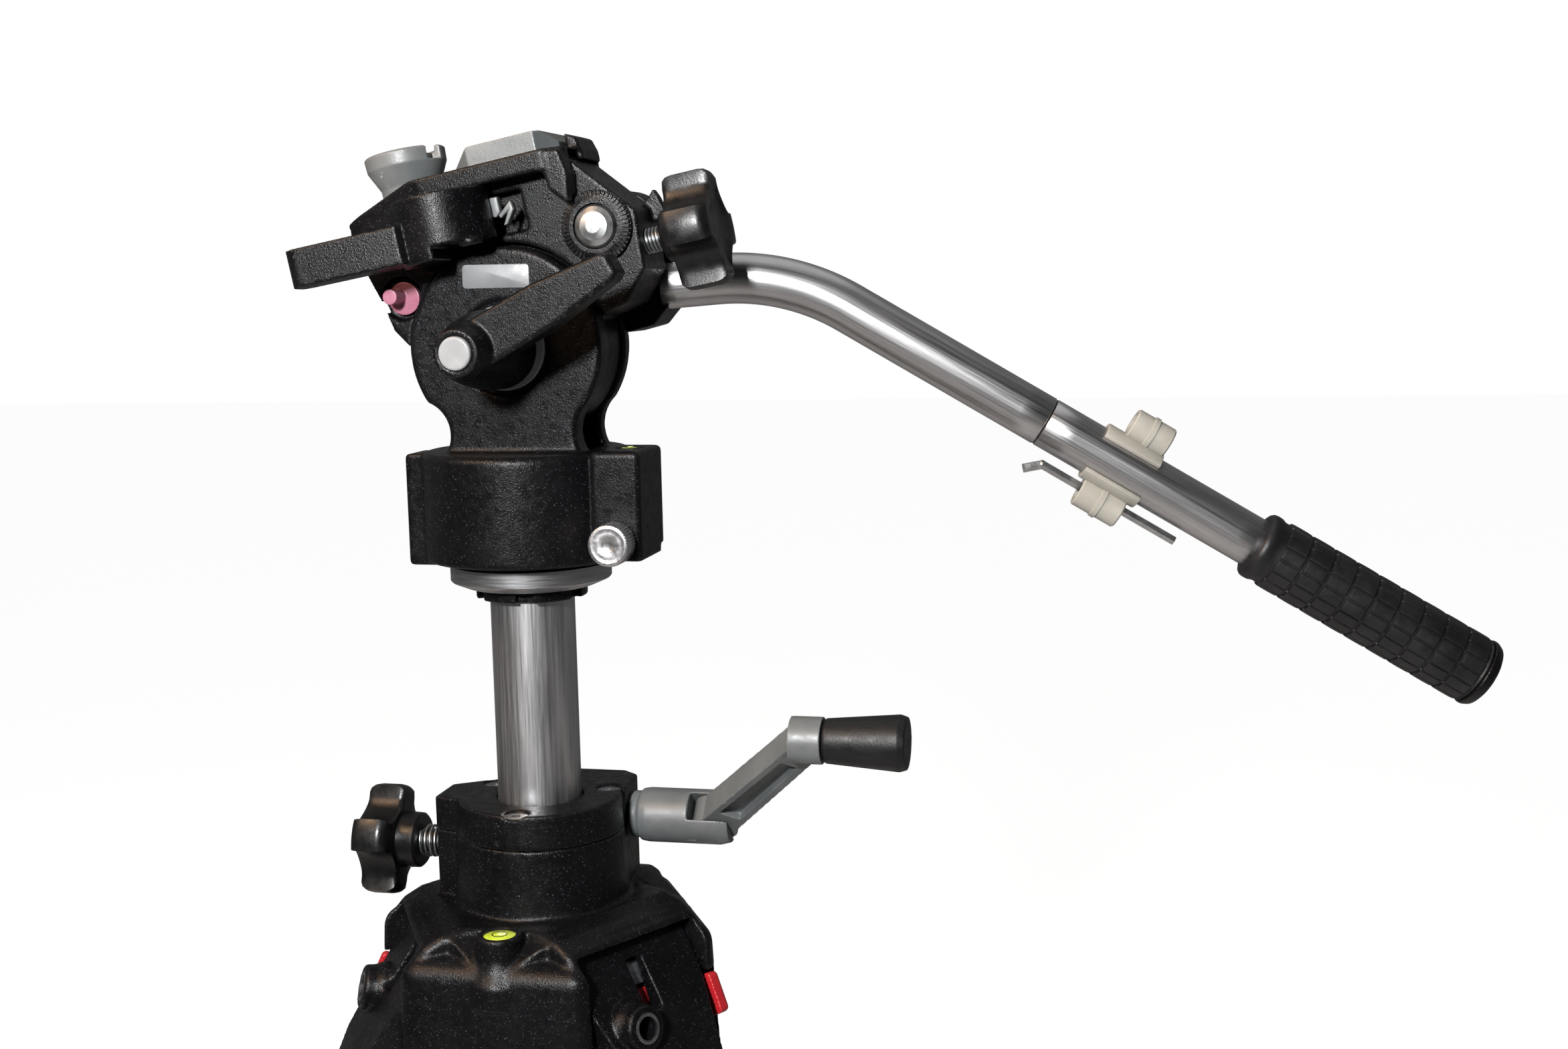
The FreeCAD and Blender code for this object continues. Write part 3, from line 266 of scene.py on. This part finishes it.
def moulded(name, dark, light, rough, grain=0.2, fine=1600, wear=0.5, gloss=0.5, inside=0.0):
    """Moulded plastic: slight mottling, a fine skin and rubbed edges."""
    n = Nodes(name)
    base = n.mix(n.spread(n.noise(60, 4), 0.35, 0.65, 0, 1), dark, light)
    lighter = tuple(min(1.0, c * 1.5 + 0.05) for c in light)
    base = n.mix(n.maths("MULTIPLY", n.edges(), wear), base, lighter)
    n.set(Base_Color=base)
    n.set(Roughness=n.spread(n.noise(240, 4), 0.3, 0.7, rough - 0.07, rough + 0.1))
    n.set(Specular_IOR_Level=gloss, Subsurface_Weight=inside)
    n.shader.inputs["Subsurface Radius"].default_value = (0.004, 0.003, 0.002)
    n.bump((n.noise(fine, 3), grain, 0.0002), (n.noise(90, 2), 0.12, 0.0004))
    return n.material


def metal(name, dark, light, rough, brush=(1, 1, 1), scale=400, coords="Object", depth=0.12,
          marks=0.35, stains=0.4):
    """Bare metal: brush lines along one direction, soft stains, small nicks and scratches."""
    n = Nodes(name)
    lines = n.noise(scale, 4, 0.65, brush, coords)
    stain = n.noise(22, 5, 0.6)
    base = n.mix(n.spread(lines, 0.3, 0.7, 0, 1), dark, light)
    base = n.mix(n.spread(stain, 0.45, 0.75, 0, 0.35), base, tuple(c * 0.72 for c in dark))
    nick = n.spread(n.cells(120).outputs["Distance"], 0.02, 0.05, marks, 0)
    sparse = n.spread(n.noise(35, 2), 0.55, 0.6, 0, 1)
    base = n.mix(n.maths("MULTIPLY", nick, sparse), base, (0.88, 0.88, 0.88))
    n.set(Base_Color=base, Metallic=1.0)
    n.set(Roughness=n.spread(n.mix(stains, lines, stain), 0.3, 0.7, rough - 0.07, rough + 0.1))
    n.bump((lines, depth, 0.0001), (n.noise(160, 3), 0.05, 0.0003))
    return n.material


def cast_grey(name, dark, light):
    """Grey paint on a zinc casting."""
    n = Nodes(name)
    base = n.mix(n.spread(n.noise(50, 5), 0.35, 0.65, 0, 1), dark, light)
    base = n.mix(n.maths("MULTIPLY", n.edges(), 0.6), base, (0.42, 0.43, 0.44))
    grime = n.spread(n.noise(30, 6, 0.7), 0.58, 0.78, 0, 0.15)
    base = n.mix(grime, base, tuple(c * 0.5 for c in dark))
    n.set(Base_Color=base, Metallic=0.15, Specular_IOR_Level=0.5)
    n.set(Roughness=n.spread(n.noise(300, 3), 0.3, 0.7, 0.36, 0.52))
    n.bump((n.noise(1100, 3), 0.22, 0.0002), (n.noise(120, 3), 0.15, 0.0004))
    return n.material


def rubber(name):
    """Black rubber, dusty in the hollows, with the pads' rubbed edges painted lighter: wear and a painted
    sheen.
    """
    n = Nodes(name)
    base = n.mix(n.spread(n.noise(80, 5), 0.35, 0.65, 0, 1), (0.005, 0.005, 0.006), (0.011, 0.011, 0.012))
    # lighter convex edges: rubbing wear and a painted sheen
    base = n.mix(n.maths("MULTIPLY", n.edges(), 0.5), base, (0.04, 0.04, 0.042))
    n.set(Base_Color=base, Specular_IOR_Level=0.42)
    n.set(Roughness=n.spread(n.noise(200, 4), 0.3, 0.7, 0.36, 0.58))
    n.bump((n.noise(1300, 3), 0.3, 0.0002), (n.noise(150, 3), 0.15, 0.0004))
    return n.material


def vial(name, dark, light):
    """Yellow-green fluid under a clear dome, with a faint painted glow: it gives off a little light of its
    own.
    """
    n = Nodes(name)
    base = n.mix(n.spread(n.noise(300, 3), 0.35, 0.65, 0, 1), dark, light)
    # the emission is a painted glow: a little light the fluid gives off though it is no lamp
    n.set(Base_Color=base, Coat_Weight=1.0, Coat_Roughness=0.03, Subsurface_Weight=0.3,
          Emission_Color=(0.5, 0.65, 0.05), Emission_Strength=0.12)
    n.shader.inputs["Subsurface Radius"].default_value = (0.002, 0.002, 0.001)
    n.set(Roughness=n.spread(n.noise(200, 2), 0.3, 0.7, 0.08, 0.16))
    n.bump((n.noise(400, 2), 0.05, 0.0002), (n.noise(90, 2), 0.05, 0.0002))
    return n.material


LOOKS = {
    "powder": powder_coat("black_powder", (0.0020, 0.0020, 0.0024), (0.0042, 0.0042, 0.0048), 0.45, 0.33),
    "plastic": moulded("black_plastic", (0.0028, 0.0028, 0.0032), (0.0052, 0.0052, 0.0056), 0.32, 0.2,
                        wear=0.25, gloss=0.30),
    "grip": moulded("crank_plastic", (0.0045, 0.0045, 0.005), (0.008, 0.008, 0.009), 0.44, 0.3, 1300,
                    wear=0.25, gloss=0.32),
    "column": metal("column_aluminium", (0.44, 0.44, 0.45), (0.58, 0.58, 0.59), 0.38, (1, 1, 0.03), 900,
                    stains=0.12),
    "ring": metal("ring_aluminium", (0.40, 0.40, 0.41), (0.56, 0.56, 0.57), 0.34, (0.05, 0.05, 1), 1500),
    "bar": metal("bar_aluminium", (0.44, 0.44, 0.45), (0.58, 0.58, 0.59), 0.34, (1, 0.02, 1), 900, "UV",
                 stains=0.12),
    "turned": metal("turned_aluminium", (0.50, 0.50, 0.51), (0.62, 0.62, 0.63), 0.34, (1, 1, 1), 500,
                    depth=0.03, marks=0.0, stains=0.1),
    "grey": cast_grey("grey_casting", (0.105, 0.115, 0.118), (0.150, 0.160, 0.162)),
    "steel": metal("zinc_steel", (0.32, 0.33, 0.34), (0.50, 0.51, 0.52), 0.32),
    "bright": metal("bright_screw", (0.42, 0.44, 0.45), (0.62, 0.64, 0.65), 0.36, (1, 1, 1), 250),
    "nylon": moulded("nylon", (0.70, 0.69, 0.64), (0.80, 0.79, 0.75), 0.45, 0.1),
    "ivory": moulded("ivory_plastic", (0.31, 0.30, 0.265), (0.38, 0.37, 0.33), 0.42, 0.12, 900, 0.1, 0.5,
                      0.1),
    "white": moulded("white_plastic", (0.24, 0.25, 0.26), (0.31, 0.32, 0.33), 0.36, 0.08, 900, 0.1, 0.5, 0.1),
    "pink": moulded("pink_plastic", (0.30, 0.10, 0.15), (0.40, 0.16, 0.22), 0.34, 0.1, 900, 0.1, 0.5, 0.2),
    "red": moulded("red_plastic", (0.34, 0.010, 0.016), (0.48, 0.020, 0.026), 0.32, 0.1, 900, 0.3),
    "rubber": rubber("black_rubber"),
    "vial": vial("level_fluid", (0.48, 0.62, 0.04), (0.62, 0.74, 0.08)),
    "bubble": vial("level_bubble", (0.72, 0.80, 0.30), (0.82, 0.88, 0.45)),
    "label": moulded("label_silver", (0.13, 0.135, 0.14), (0.18, 0.185, 0.19), 0.38, 0.1, 900, 0.2),
    "zinc": metal("zinc_block", (0.42, 0.44, 0.48), (0.56, 0.58, 0.62), 0.50),
}
SLOT_LOOK = {"black_paint": "powder", "black_plastic": "plastic", "satin_aluminium": "column",
             "grey_casting": "grey", "steel": "steel", "nylon": "nylon", "ivory_plastic": "ivory",
             "white_plastic": "white", "pink_plastic": "pink", "red_plastic": "red",
             "level_vial": "vial", "rubber": "rubber"}
NODE_LOOK = {"head_ring": "ring", "column_head_disc": "powder", "column_foot": "powder",
             "pan_drag_knob": "turned", "crank_grip": "grip", "bar_screw": "bright",
             "rosette": "powder", "front_post": "grey"}
# ------------------------------------------------------------------ shapes
def level_frame():
    """The matrix from the tilting head's level frame, in metres, to the rest pose."""
    return (Matrix.Translation((0, COLUMN_Y, TILT_Z))
            @ Matrix.Rotation(math.radians(-PITCH), 4, "Y"))


def along(origin, direction, side=Vector((0, 0, 1))):
    """A matrix with its z along a direction."""
    z = Vector(direction).normalized()
    x = Vector(side).cross(z)
    if x.length < 0.01:
        x = Vector((1, 0, 0)).cross(z)
        if x.length < 0.01:
            x = Vector((0, 1, 0))
    x.normalize()
    y = z.cross(x)
    return Matrix.Translation(origin) @ Matrix((x, y, z)).transposed().to_4x4()


def piece(name, points, faces, place, body, look, uvs=None, smooth=True):
    """An object from points in millimetres, put in place on a body with its look."""
    mesh = bpy.data.meshes.new(name)
    mesh.from_pydata([place @ (Vector(p) * MM) for p in points], [], faces)
    mesh.validate()
    if uvs:
        layer = mesh.uv_layers.new(name="UVMap")
        for loop in mesh.loops:
            layer.data[loop.index].uv = uvs[loop.vertex_index]
    thing = bpy.data.objects.new(name, mesh)
    bpy.context.scene.collection.objects.link(thing)
    mesh.materials.append(LOOKS[look])
    mesh.polygons.foreach_set("use_smooth", [smooth] * len(mesh.polygons))
    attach(thing, body)
    return thing


def turned(name, profile, place, body, look, steps=64, radius=None):
    """A profile of (radius, height) turned about z; radius(r, h, angle) may shape it further."""
    points, faces = [], []
    for r, h in profile:
        for k in range(steps):
            a = math.tau * k / steps
            real = radius(r, h, a) if radius else r
            points.append((real * math.cos(a), real * math.sin(a), h))
    for row in range(len(profile) - 1):
        for k in range(steps):
            low, next_low = row * steps + k, row * steps + (k + 1) % steps
            faces.append((low, next_low, next_low + steps, low + steps))
    thing = piece(name, points, faces, place, body, look)
    tidy_mesh(thing)
    return thing


def tidy_mesh(thing):
    """Merge doubled points, face outward and keep hard edges sharp."""
    shape = bmesh.new()
    shape.from_mesh(thing.data)
    bmesh.ops.remove_doubles(shape, verts=shape.verts, dist=1e-6)
    bmesh.ops.recalc_face_normals(shape, faces=shape.faces)
    for edge in shape.edges:
        if len(edge.link_faces) == 2 and edge.calc_face_angle(0) > math.radians(40):
            edge.smooth = False
    shape.to_mesh(thing.data)
    shape.free()


def bevelled(name, outline, low, high, soft, place, body, look):
    """An outline in x and y drawn out in z, with rounded edges."""
    shape = bmesh.new()
    face = shape.faces.new([shape.verts.new((x * MM, y * MM, low * MM)) for x, y in outline])
    made = bmesh.ops.extrude_face_region(shape, geom=[face])
    top = [v for v in made["geom"] if isinstance(v, bmesh.types.BMVert)]
    bmesh.ops.translate(shape, verts=top, vec=(0, 0, (high - low) * MM))
    bmesh.ops.bevel(shape, geom=shape.edges[:], offset=soft * MM, segments=3, profile=0.5,
                    affect="EDGES")
    bmesh.ops.recalc_face_normals(shape, faces=shape.faces)
    bmesh.ops.transform(shape, matrix=place, verts=shape.verts)
    mesh = bpy.data.meshes.new(name)
    shape.to_mesh(mesh)
    shape.free()
    thing = bpy.data.objects.new(name, mesh)
    bpy.context.scene.collection.objects.link(thing)
    mesh.materials.append(LOOKS[look])
    mesh.polygons.foreach_set("use_smooth", [True] * len(mesh.polygons))
    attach(thing, body)
    return thing


def rectangle(half_x, half_y):
    return [(-half_x, -half_y), (half_x, -half_y), (half_x, half_y), (-half_x, half_y)]


# ------------------------------------------------------------------ cast shapes
def soften(node, voxel, passes):
    """Round a CAD node's edges the way a casting or a moulding has them."""
    thing = frame["nodes"][node]
    shell = thing.modifiers.new("cast", "REMESH")
    shell.mode = "VOXEL"
    shell.voxel_size = voxel * MM
    shell.use_smooth_shade = True
    ease = thing.modifiers.new("ease", "SMOOTH")
    ease.factor = 0.5
    ease.iterations = passes


CAST = {
    "crown_casting": (0.8, 5), "collar_cap": (0.6, 3), "pan_housing": (0.7, 4),
    "tilt_casting": (0.6, 4), "platform": (0.55, 4), "quick_lever": (0.5, 5),
    "tilt_lever": (0.45, 4), "bar_bracket": (0.5, 6), "crank_hub": (0.35, 4),
    "crank_arm": (0.35, 4), "crank_latch": (0.25, 3), "crank_grip": (0.4, 3),
    "camera_plate": (0.35, 3),
    "front_post": (0.3, 2), "column_head_disc": (0.35, 2),
    "handle_end_cap": (0.4, 3), "column_foot": (0.5, 3),
    "tilt_lever_cap": (0.2, 2), "fluid_plug": (0.2, 3),
}
for number in (1, 2, 3):
    CAST["leg_%d_casting" % number] = (0.7, 4)
    CAST["leg_%d_release_lever" % number] = (0.35, 4)
    CAST["leg_%d_foot" % number] = (0.6, 3)
for node, (voxel, passes) in CAST.items():
    soften(node, voxel, passes)


# ------------------------------------------------------------------ crown
def bulls_eye(name, place, radius, depth, body, replaced=None):
    """A round level: fluid under a low dome, a printed circle and a bubble."""
    dome = [(0, 0.55), (radius * 0.3, 0.52), (radius * 0.6, 0.38), (radius * 0.88, 0.12),
            (radius, -0.1), (radius, -depth), (0, -depth)]
    fluid = turned(name, dome, place, body, "vial", 48)
    if replaced:
        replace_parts(fluid, replaced)
    at = radius * 0.45
    circle = [(at - 0.18, 0.42), (at - 0.18, 0.56), (at + 0.18, 0.54), (at + 0.18, 0.4)]
    turned(name + "_circle", circle, place, body, "plastic", 40)
    bubble = place @ Matrix.Translation((radius * 0.12 * MM, radius * 0.1 * MM, 0))
    drop = [(0, 0.78), (radius * 0.2, 0.72), (radius * 0.3, 0.56), (radius * 0.33, 0.4)]
    turned(name + "_bubble", drop, bubble, body, "bubble", 32)
    rim = [(radius - 0.1, -0.6), (radius - 0.05, 0.25), (radius + 0.35, 0.4), (radius + 0.8, 0.15),
           (radius + 0.9, -0.6)]
    turned(name + "_rim", rim, place, body, "powder", 48)


bulls_eye("level", Matrix.Translation(at_column(0, -45, -37.2)), 5.6, 4.5, "crown", "spirit_level")
bulls_eye("head_level", Matrix.Translation(Vector((40.5 * MM, COLUMN_Y - 9 * MM, RING_Z + 46.7 * MM))),
          3.5, 1.8, "pan")


# ------------------------------------------------------------------ threads, leg details
def threaded(name, radius, low, high, pitch, place, body, look="steel", inward=False):
    """A screw thread's ridges along z."""
    steps = 40
    turns = (high - low) / pitch
    rows = int(turns * steps)
    deep = 0.5 * pitch * (-1 if inward else 1)
    points, faces = [], []
    for k in range(rows + 1):
        a = math.tau * k / steps
        h = low + pitch * k / steps
        for drop, shift in ((deep, -0.5), (0, -0.06), (0, 0.06), (deep, 0.5)):
            r = radius - drop
            points.append((r * math.cos(a), r * math.sin(a), h + shift * pitch))
    for k in range(rows):
        for j in range(3):
            first = 4 * k + j
            faces.append((first, first + 1, first + 5, first + 4))
    return piece(name, points, faces, place, body, look, smooth=False)


def leg_matrix(azimuth):
    """A leg's own frame: x outward, z up along the leg from its hinge."""
    return (Matrix.Translation(at_column(0, 0, 0)) @ Matrix.Rotation(math.radians(azimuth), 4, "Z")
            @ Matrix.Translation((36.7 * MM, 0, -67.5 * MM))
            @ Matrix.Rotation(math.radians(-LEG_SPREAD), 4, "Y"))


def leg_details(number, azimuth):
    """The steel insert in the boss and what shows through the slot."""
    body = "leg_%d_upper" % number
    own = leg_matrix(azimuth)
    out = Vector((math.cos(math.radians(BOSS_TILT)), 0, -math.sin(math.radians(BOSS_TILT))))
    mouth = own @ along(Vector((26, -11.5, -13)) * MM, out)
    threaded("insert_%d_thread" % number, 4.15, -12.0, -0.9, 1.5, mouth, body, "bright", True)
    lip = [(4.05, -2.0), (4.05, 0.06), (4.3, 0.16), (5.0, 0.16), (5.2, 0.02), (5.2, -2.0)]
    turned("insert_%d_lip" % number, lip, mouth, body, "steel", 48)
    grey = own @ Matrix.Translation(Vector((10.3, 0, 6.1)) * MM)
    bevelled("latch_%d_block" % number, rectangle(1.6, 8.6), -4.6, 4.2, 0.5, grey, body, "zinc")
    red = own @ Matrix.Translation(Vector((10.2, 0, -7.0)) * MM)
    bevelled("release_%d_front" % number, rectangle(1.6, 5.6), -6.0, 7.0, 0.5, red,
             "leg_%d_lever" % number, "red")


for number, azimuth in ((1, -30), (2, 90), (3, 210)):
    leg_details(number, azimuth)


# ------------------------------------------------------------------ head
def knurled(r, h, a):
    if h <= 1.2 or h >= 9.8 or r < 7.1:
        return r
    return r - 0.32 * (0.5 - 0.5 * math.cos(44 * a))


DRAG = along(Vector((40.0 * MM, COLUMN_Y - 25 * MM, RING_Z + 16.4 * MM)), (0, -1, 0))
drag_profile = [(0, 0.4), (5.6, 0.4), (6.8, 0.9), (7.2, 1.4), (7.2, 9.4), (6.9, 9.9), (6.3, 10.2),
                (5.6, 10.2), (5.4, 10.12), (4.4, 10.18), (2.2, 10.2), (1.9, 10.0), (0.8, 9.85),
                (0, 9.8)]
knob = turned("drag_knob", drag_profile, DRAG, "pan_drag", "turned", 352, knurled)
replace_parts(knob, "pan_drag_knob")

LABEL = Matrix.Translation(Vector((-1.7 * MM, COLUMN_Y - 18.95 * MM, RING_Z + 106.3 * MM)))
LABEL = LABEL @ Matrix.Rotation(math.radians(90), 4, "X")
corner = [(math.cos(math.radians(15 * k)) * 1.3, math.sin(math.radians(15 * k)) * 1.3) for k in range(7)]
label = [(10.7 + x, 2.7 + y) for x, y in corner] + [(-10.7 - x, 2.7 + y) for x, y in reversed(corner)]
label += [(-10.7 - x, -2.7 - y) for x, y in corner] + [(10.7 + x, -2.7 - y) for x, y in reversed(corner)]
bevelled("blank_label", label, 0, 0.42, 0.1, LABEL, "pan", "label")
PIVOT = along(Vector((0, COLUMN_Y - 17.4 * MM, TILT_Z)), (0, -1, 0))
washer = [(6.5, 0), (14.2, 0), (14.6, 0.4), (14.6, 1.3), (14.2, 1.7), (6.5, 1.7)]
turned("lever_washer", washer, PIVOT, "pan", "white", 64)

LEVEL = level_frame()
stud = LEVEL @ along(Vector((60.5, -5, 25.2)) * MM, (-1, 0, 0))
threaded("bar_lock_thread", 4.35, -0.4, 8.4, 1.25, stud, "bar_lock", "bright")
lock = along(at_column(-46, 0, -19.3), (1, 0, 0))
threaded("column_lock_thread", 4.3, 0.0, 9.2, 1.25, lock, "column_lock", "bright")


def lobed_knob(name, place, size, thick, hub_r, hub_long, stud_long, turn, body, node):
    """A four-lobed plastic knob with a dished face, on its hub and stud."""
    top = hub_long + thick
    profile = [(0, -stud_long), (4.0, -stud_long), (4.0, 0), (hub_r - 0.8, 0), (hub_r, 0.8),
               (hub_r + 0.3, hub_long), (size * 0.80, hub_long + 0.2), (size * 0.93, hub_long + 0.8),
               (size * 0.985, hub_long + 2.0), (size, hub_long + 3.6), (size, top - 4.0),
               (size * 0.985, top - 2.2), (size * 0.94, top - 0.9), (size * 0.86, top - 0.1),
               (size * 0.76, top - 0.1), (size * 0.6, top - 0.9), (size * 0.35, top - 1.6),
               (0, top - 1.8)]

    def lobes(r, h, a):
        near = (a - math.radians(turn)) % (math.pi / 2) - math.pi / 4
        deep = 0.52 ** 2 - (1.12 * math.sin(near)) ** 2
        if deep <= 0:
            return r
        hollow = 1.12 * math.cos(near) - math.sqrt(deep)
        outline = (1 + hollow ** -14) ** (-1 / 14)
        share = min(1.0, max(0.0, (r - hub_r) / (size - hub_r)))
        return max(r * (1 - share * (1 - outline)), min(r, hub_r))

    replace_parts(turned(name, profile, place, body, "plastic", 128, lobes), node)


lobed_knob("column_knob", along(at_column(-46, 0, -19.3), (-1, 0, 0)), 20.0, 14.0, 10.0, 7.0, 28.0,
           20, "column_lock", "column_lock_knob")
lobed_knob("bar_knob", LEVEL @ along(Vector((60.5, -5, 25.2)) * MM, (1, 0, 0)), 19.7, 17.0, 9.0, 3.0,
           16.0, -3, "bar_lock", "bar_lock_knob")
CATCH = LEVEL @ Matrix.Translation(Vector((6.4, -16.4, 50)) * MM) @ Matrix.Rotation(math.radians(90), 4, "X")
hook = [(2.6, -6.2), (7.6, -2.2), (8.2, -5.4), (5.0, -9.8), (3.6, -10.0), (6.0, -5.6), (3.0, -7.4)]
bevelled("catch_hook", hook, 0, 3.4, 0.35, CATCH, "catch", "grey")
bar = [(0, 0), (3.4, 0), (3.4, -5.4), (1.7, -6.8), (0, -6.4)]
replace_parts(bevelled("catch_bar", bar, 0.4, 3.6, 0.45, CATCH, "catch", "grey"),
            "safety_catch")


# ------------------------------------------------------------------ pan bar
BAR_ROOT = Matrix.Translation(Vector((45.0 * MM, COLUMN_Y + 22.0 * MM, RING_Z + 102.4 * MM)))
BAR_ROOT = BAR_ROOT @ Matrix.Rotation(math.radians(8), 4, "Z")
RISE = Vector((math.cos(math.radians(4)), 0, math.sin(math.radians(4))))
FALL = Vector((math.cos(math.radians(31)), 0, -math.sin(math.radians(31))))
CORNER = RISE * 45.0
BEND_R = 80.0


def bar_path():
    """Points along the bar's axis up to its seam, in millimetres."""
    reach = BEND_R * math.tan(math.radians(17.5))
    centre = CORNER - RISE * reach + Vector((RISE.z, 0, -RISE.x)) * BEND_R
    path = [RISE * d for d in (0.0, 6.0, 12.0, 45.0 - reach)]
    for k in range(1, 25):
        a = math.radians(4 - 35 * k / 24)
        path.append(centre + Vector((-math.sin(a), 0, math.cos(a))) * BEND_R)
    length = 105.0 - 0.2 - reach
    return path + [CORNER + FALL * (reach + length * k / 8) for k in range(1, 9)]


def swept(name, path, profile_r, place, body, look):
    """A round tube along a path, with u round it and v along it in metres."""
    steps, inner = 96, 1.5
    tangents = []
    for k, spot in enumerate(path):
        back = path[max(k - 1, 0)]
        front = path[min(k + 1, len(path) - 1)]
        tangents.append((front - back).normalized())
    first, last = path[0], path[-1]
    rings = [(first, tangents[0], profile_r - inner, 0.0), (first, tangents[0], profile_r - 0.3, 0.0),
             (first + tangents[0] * 0.3, tangents[0], profile_r, 0.0003)]
    run = 0.0
    for k in range(1, len(path) - 1):
        run += (path[k] - path[k - 1]).length * MM
        rings.append((path[k], tangents[k], profile_r, run))
    run += (last - path[-2]).length * MM
    rings += [(last - tangents[-1] * 0.3, tangents[-1], profile_r, run),
              (last, tangents[-1], profile_r - 0.3, run + 0.0003),
              (last, tangents[-1], profile_r - inner, run + 0.0006)]
    points, faces, uvs = [], [], []
    for spot, tangent, r, v in rings:
        up = tangent.cross(Vector((0, -1, 0))).normalized()
        for k in range(steps + 1):
            a = math.tau * k / steps
            points.append(spot + Vector((0, 1, 0)) * (r * math.cos(a)) + up * (r * math.sin(a)))
            uvs.append((a * profile_r * MM, v))
    row = steps + 1
    for j in range(len(rings) - 1):
        for k in range(steps):
            faces.append((j * row + k, j * row + k + 1, (j + 1) * row + k + 1, (j + 1) * row + k))
    thing = piece(name, points, faces, place, body, look, uvs)
    return thing


front = swept("front_tube", bar_path(), 9.0, BAR_ROOT, "bar", "bar")
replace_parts(front, "bar_front_tube")
rear = swept("rear_tube", [CORNER + FALL * (105.2 + 11.0 * k) for k in range(9)], 9.0, BAR_ROOT,
             "bar", "bar")
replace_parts(rear, "bar_rear_tube")
joint = [CORNER + FALL * d for d in (104.4, 104.8, 105.4)]
swept("tube_joint", joint, 8.7, BAR_ROOT, "bar", "plastic")


LIFT = Vector((-FALL.z, 0, FALL.x))


def clip(name, hand, shift, sleeve_r, sleeve_half):
    """A plastic clip: a saddle wrapped on the bar and an open sleeve joined to it."""
    arc = [math.radians(-50 + 10 * k) for k in range(11)]
    outline = [(10.9 * math.sin(a), hand * 10.9 * math.cos(a)) for a in arc]
    outline += [(9.03 * math.sin(a), hand * 9.03 * math.cos(a)) for a in reversed(arc)]
    saddle = BAR_ROOT @ along((CORNER + FALL * CLIP_AT) * MM, FALL)
    made = [bevelled(name + "_saddle", outline, -11, 11, 0.35, saddle, "bar", "ivory")]
    spot = CORNER + FALL * (CLIP_AT + shift) + LIFT * hand * (9.3 + sleeve_r)
    rim = sleeve_half
    sleeve = [(sleeve_r - 1.7, -rim), (sleeve_r - 0.5, -rim), (sleeve_r, 0.5 - rim), (sleeve_r, -1.2),
              (sleeve_r + 0.5, -0.9), (sleeve_r + 0.5, 0.9), (sleeve_r, 1.2), (sleeve_r, rim - 0.5),
              (sleeve_r - 0.5, rim), (sleeve_r - 1.7, rim), (sleeve_r - 1.7, -rim)]
    made.append(turned(name + "_sleeve", sleeve, BAR_ROOT @ along(spot * MM, FALL), "bar", "ivory",
                       64))
    return made


upper = clip("upper_clip", 1, 3.0, 5.6, 7.5)
clip("lower_clip", -1, 0.0, 5.6, 8.5)
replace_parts(upper[0], "bar_clips")


def grip():
    """The rubber grip: a flared collar, then rows of square pads."""
    around, rows, start, end = 16, 9, 7.4, 88.6
    pitch = (end - start) / rows
    profile = [(9.0, 0.0), (10.6, 0.0), (11.6, 0.5), (12.2, 1.3), (12.4, 2.6), (12.3, 4.2),
               (11.9, 5.2), (11.7, 6.0)]
    for k in range(rows * 26 + 1):
        profile.append((12.75, start + pitch * k / 26))
    profile += [(12.2, 89.2), (11.6, 90.0), (9.0, 90.0)]

    def pad(r, h, a):
        if r < 12.7:
            return r
        across = abs(((h - start) / pitch) % 1.0 - 0.5) * pitch
        turn = abs((a * around / math.tau) % 1.0 - 0.5) * math.tau * 12.7 / around
        near = max(across - (pitch / 2 - 0.75), turn - (math.tau * 12.7 / around / 2 - 0.6))
        step = min(1.0, max(0.0, near / 0.4))
        crown = 0.1 * (1 - (2 * across / pitch) ** 2)
        return 12.45 + crown - 0.75 * step * step * (3 - 2 * step)

    place = BAR_ROOT @ along((CORNER + FALL * 190.5) * MM, FALL)
    thing = turned("grip", profile, place, "bar", "rubber", 320, pad)
    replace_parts(thing, "handle_grip")


grip()


def finish_nodes():
    """Give every CAD node that still shows its look."""
    slot_of = {part["node"]: part["material_slot"] for part in frame["record"]["subparts"]}
    for name, node in frame["nodes"].items():
        look = LOOKS[NODE_LOOK.get(name, SLOT_LOOK[slot_of[name]])]
        for place in node.material_slots:
            place.material = look
        if not node.material_slots:
            node.data.materials.append(look)


finish_nodes()
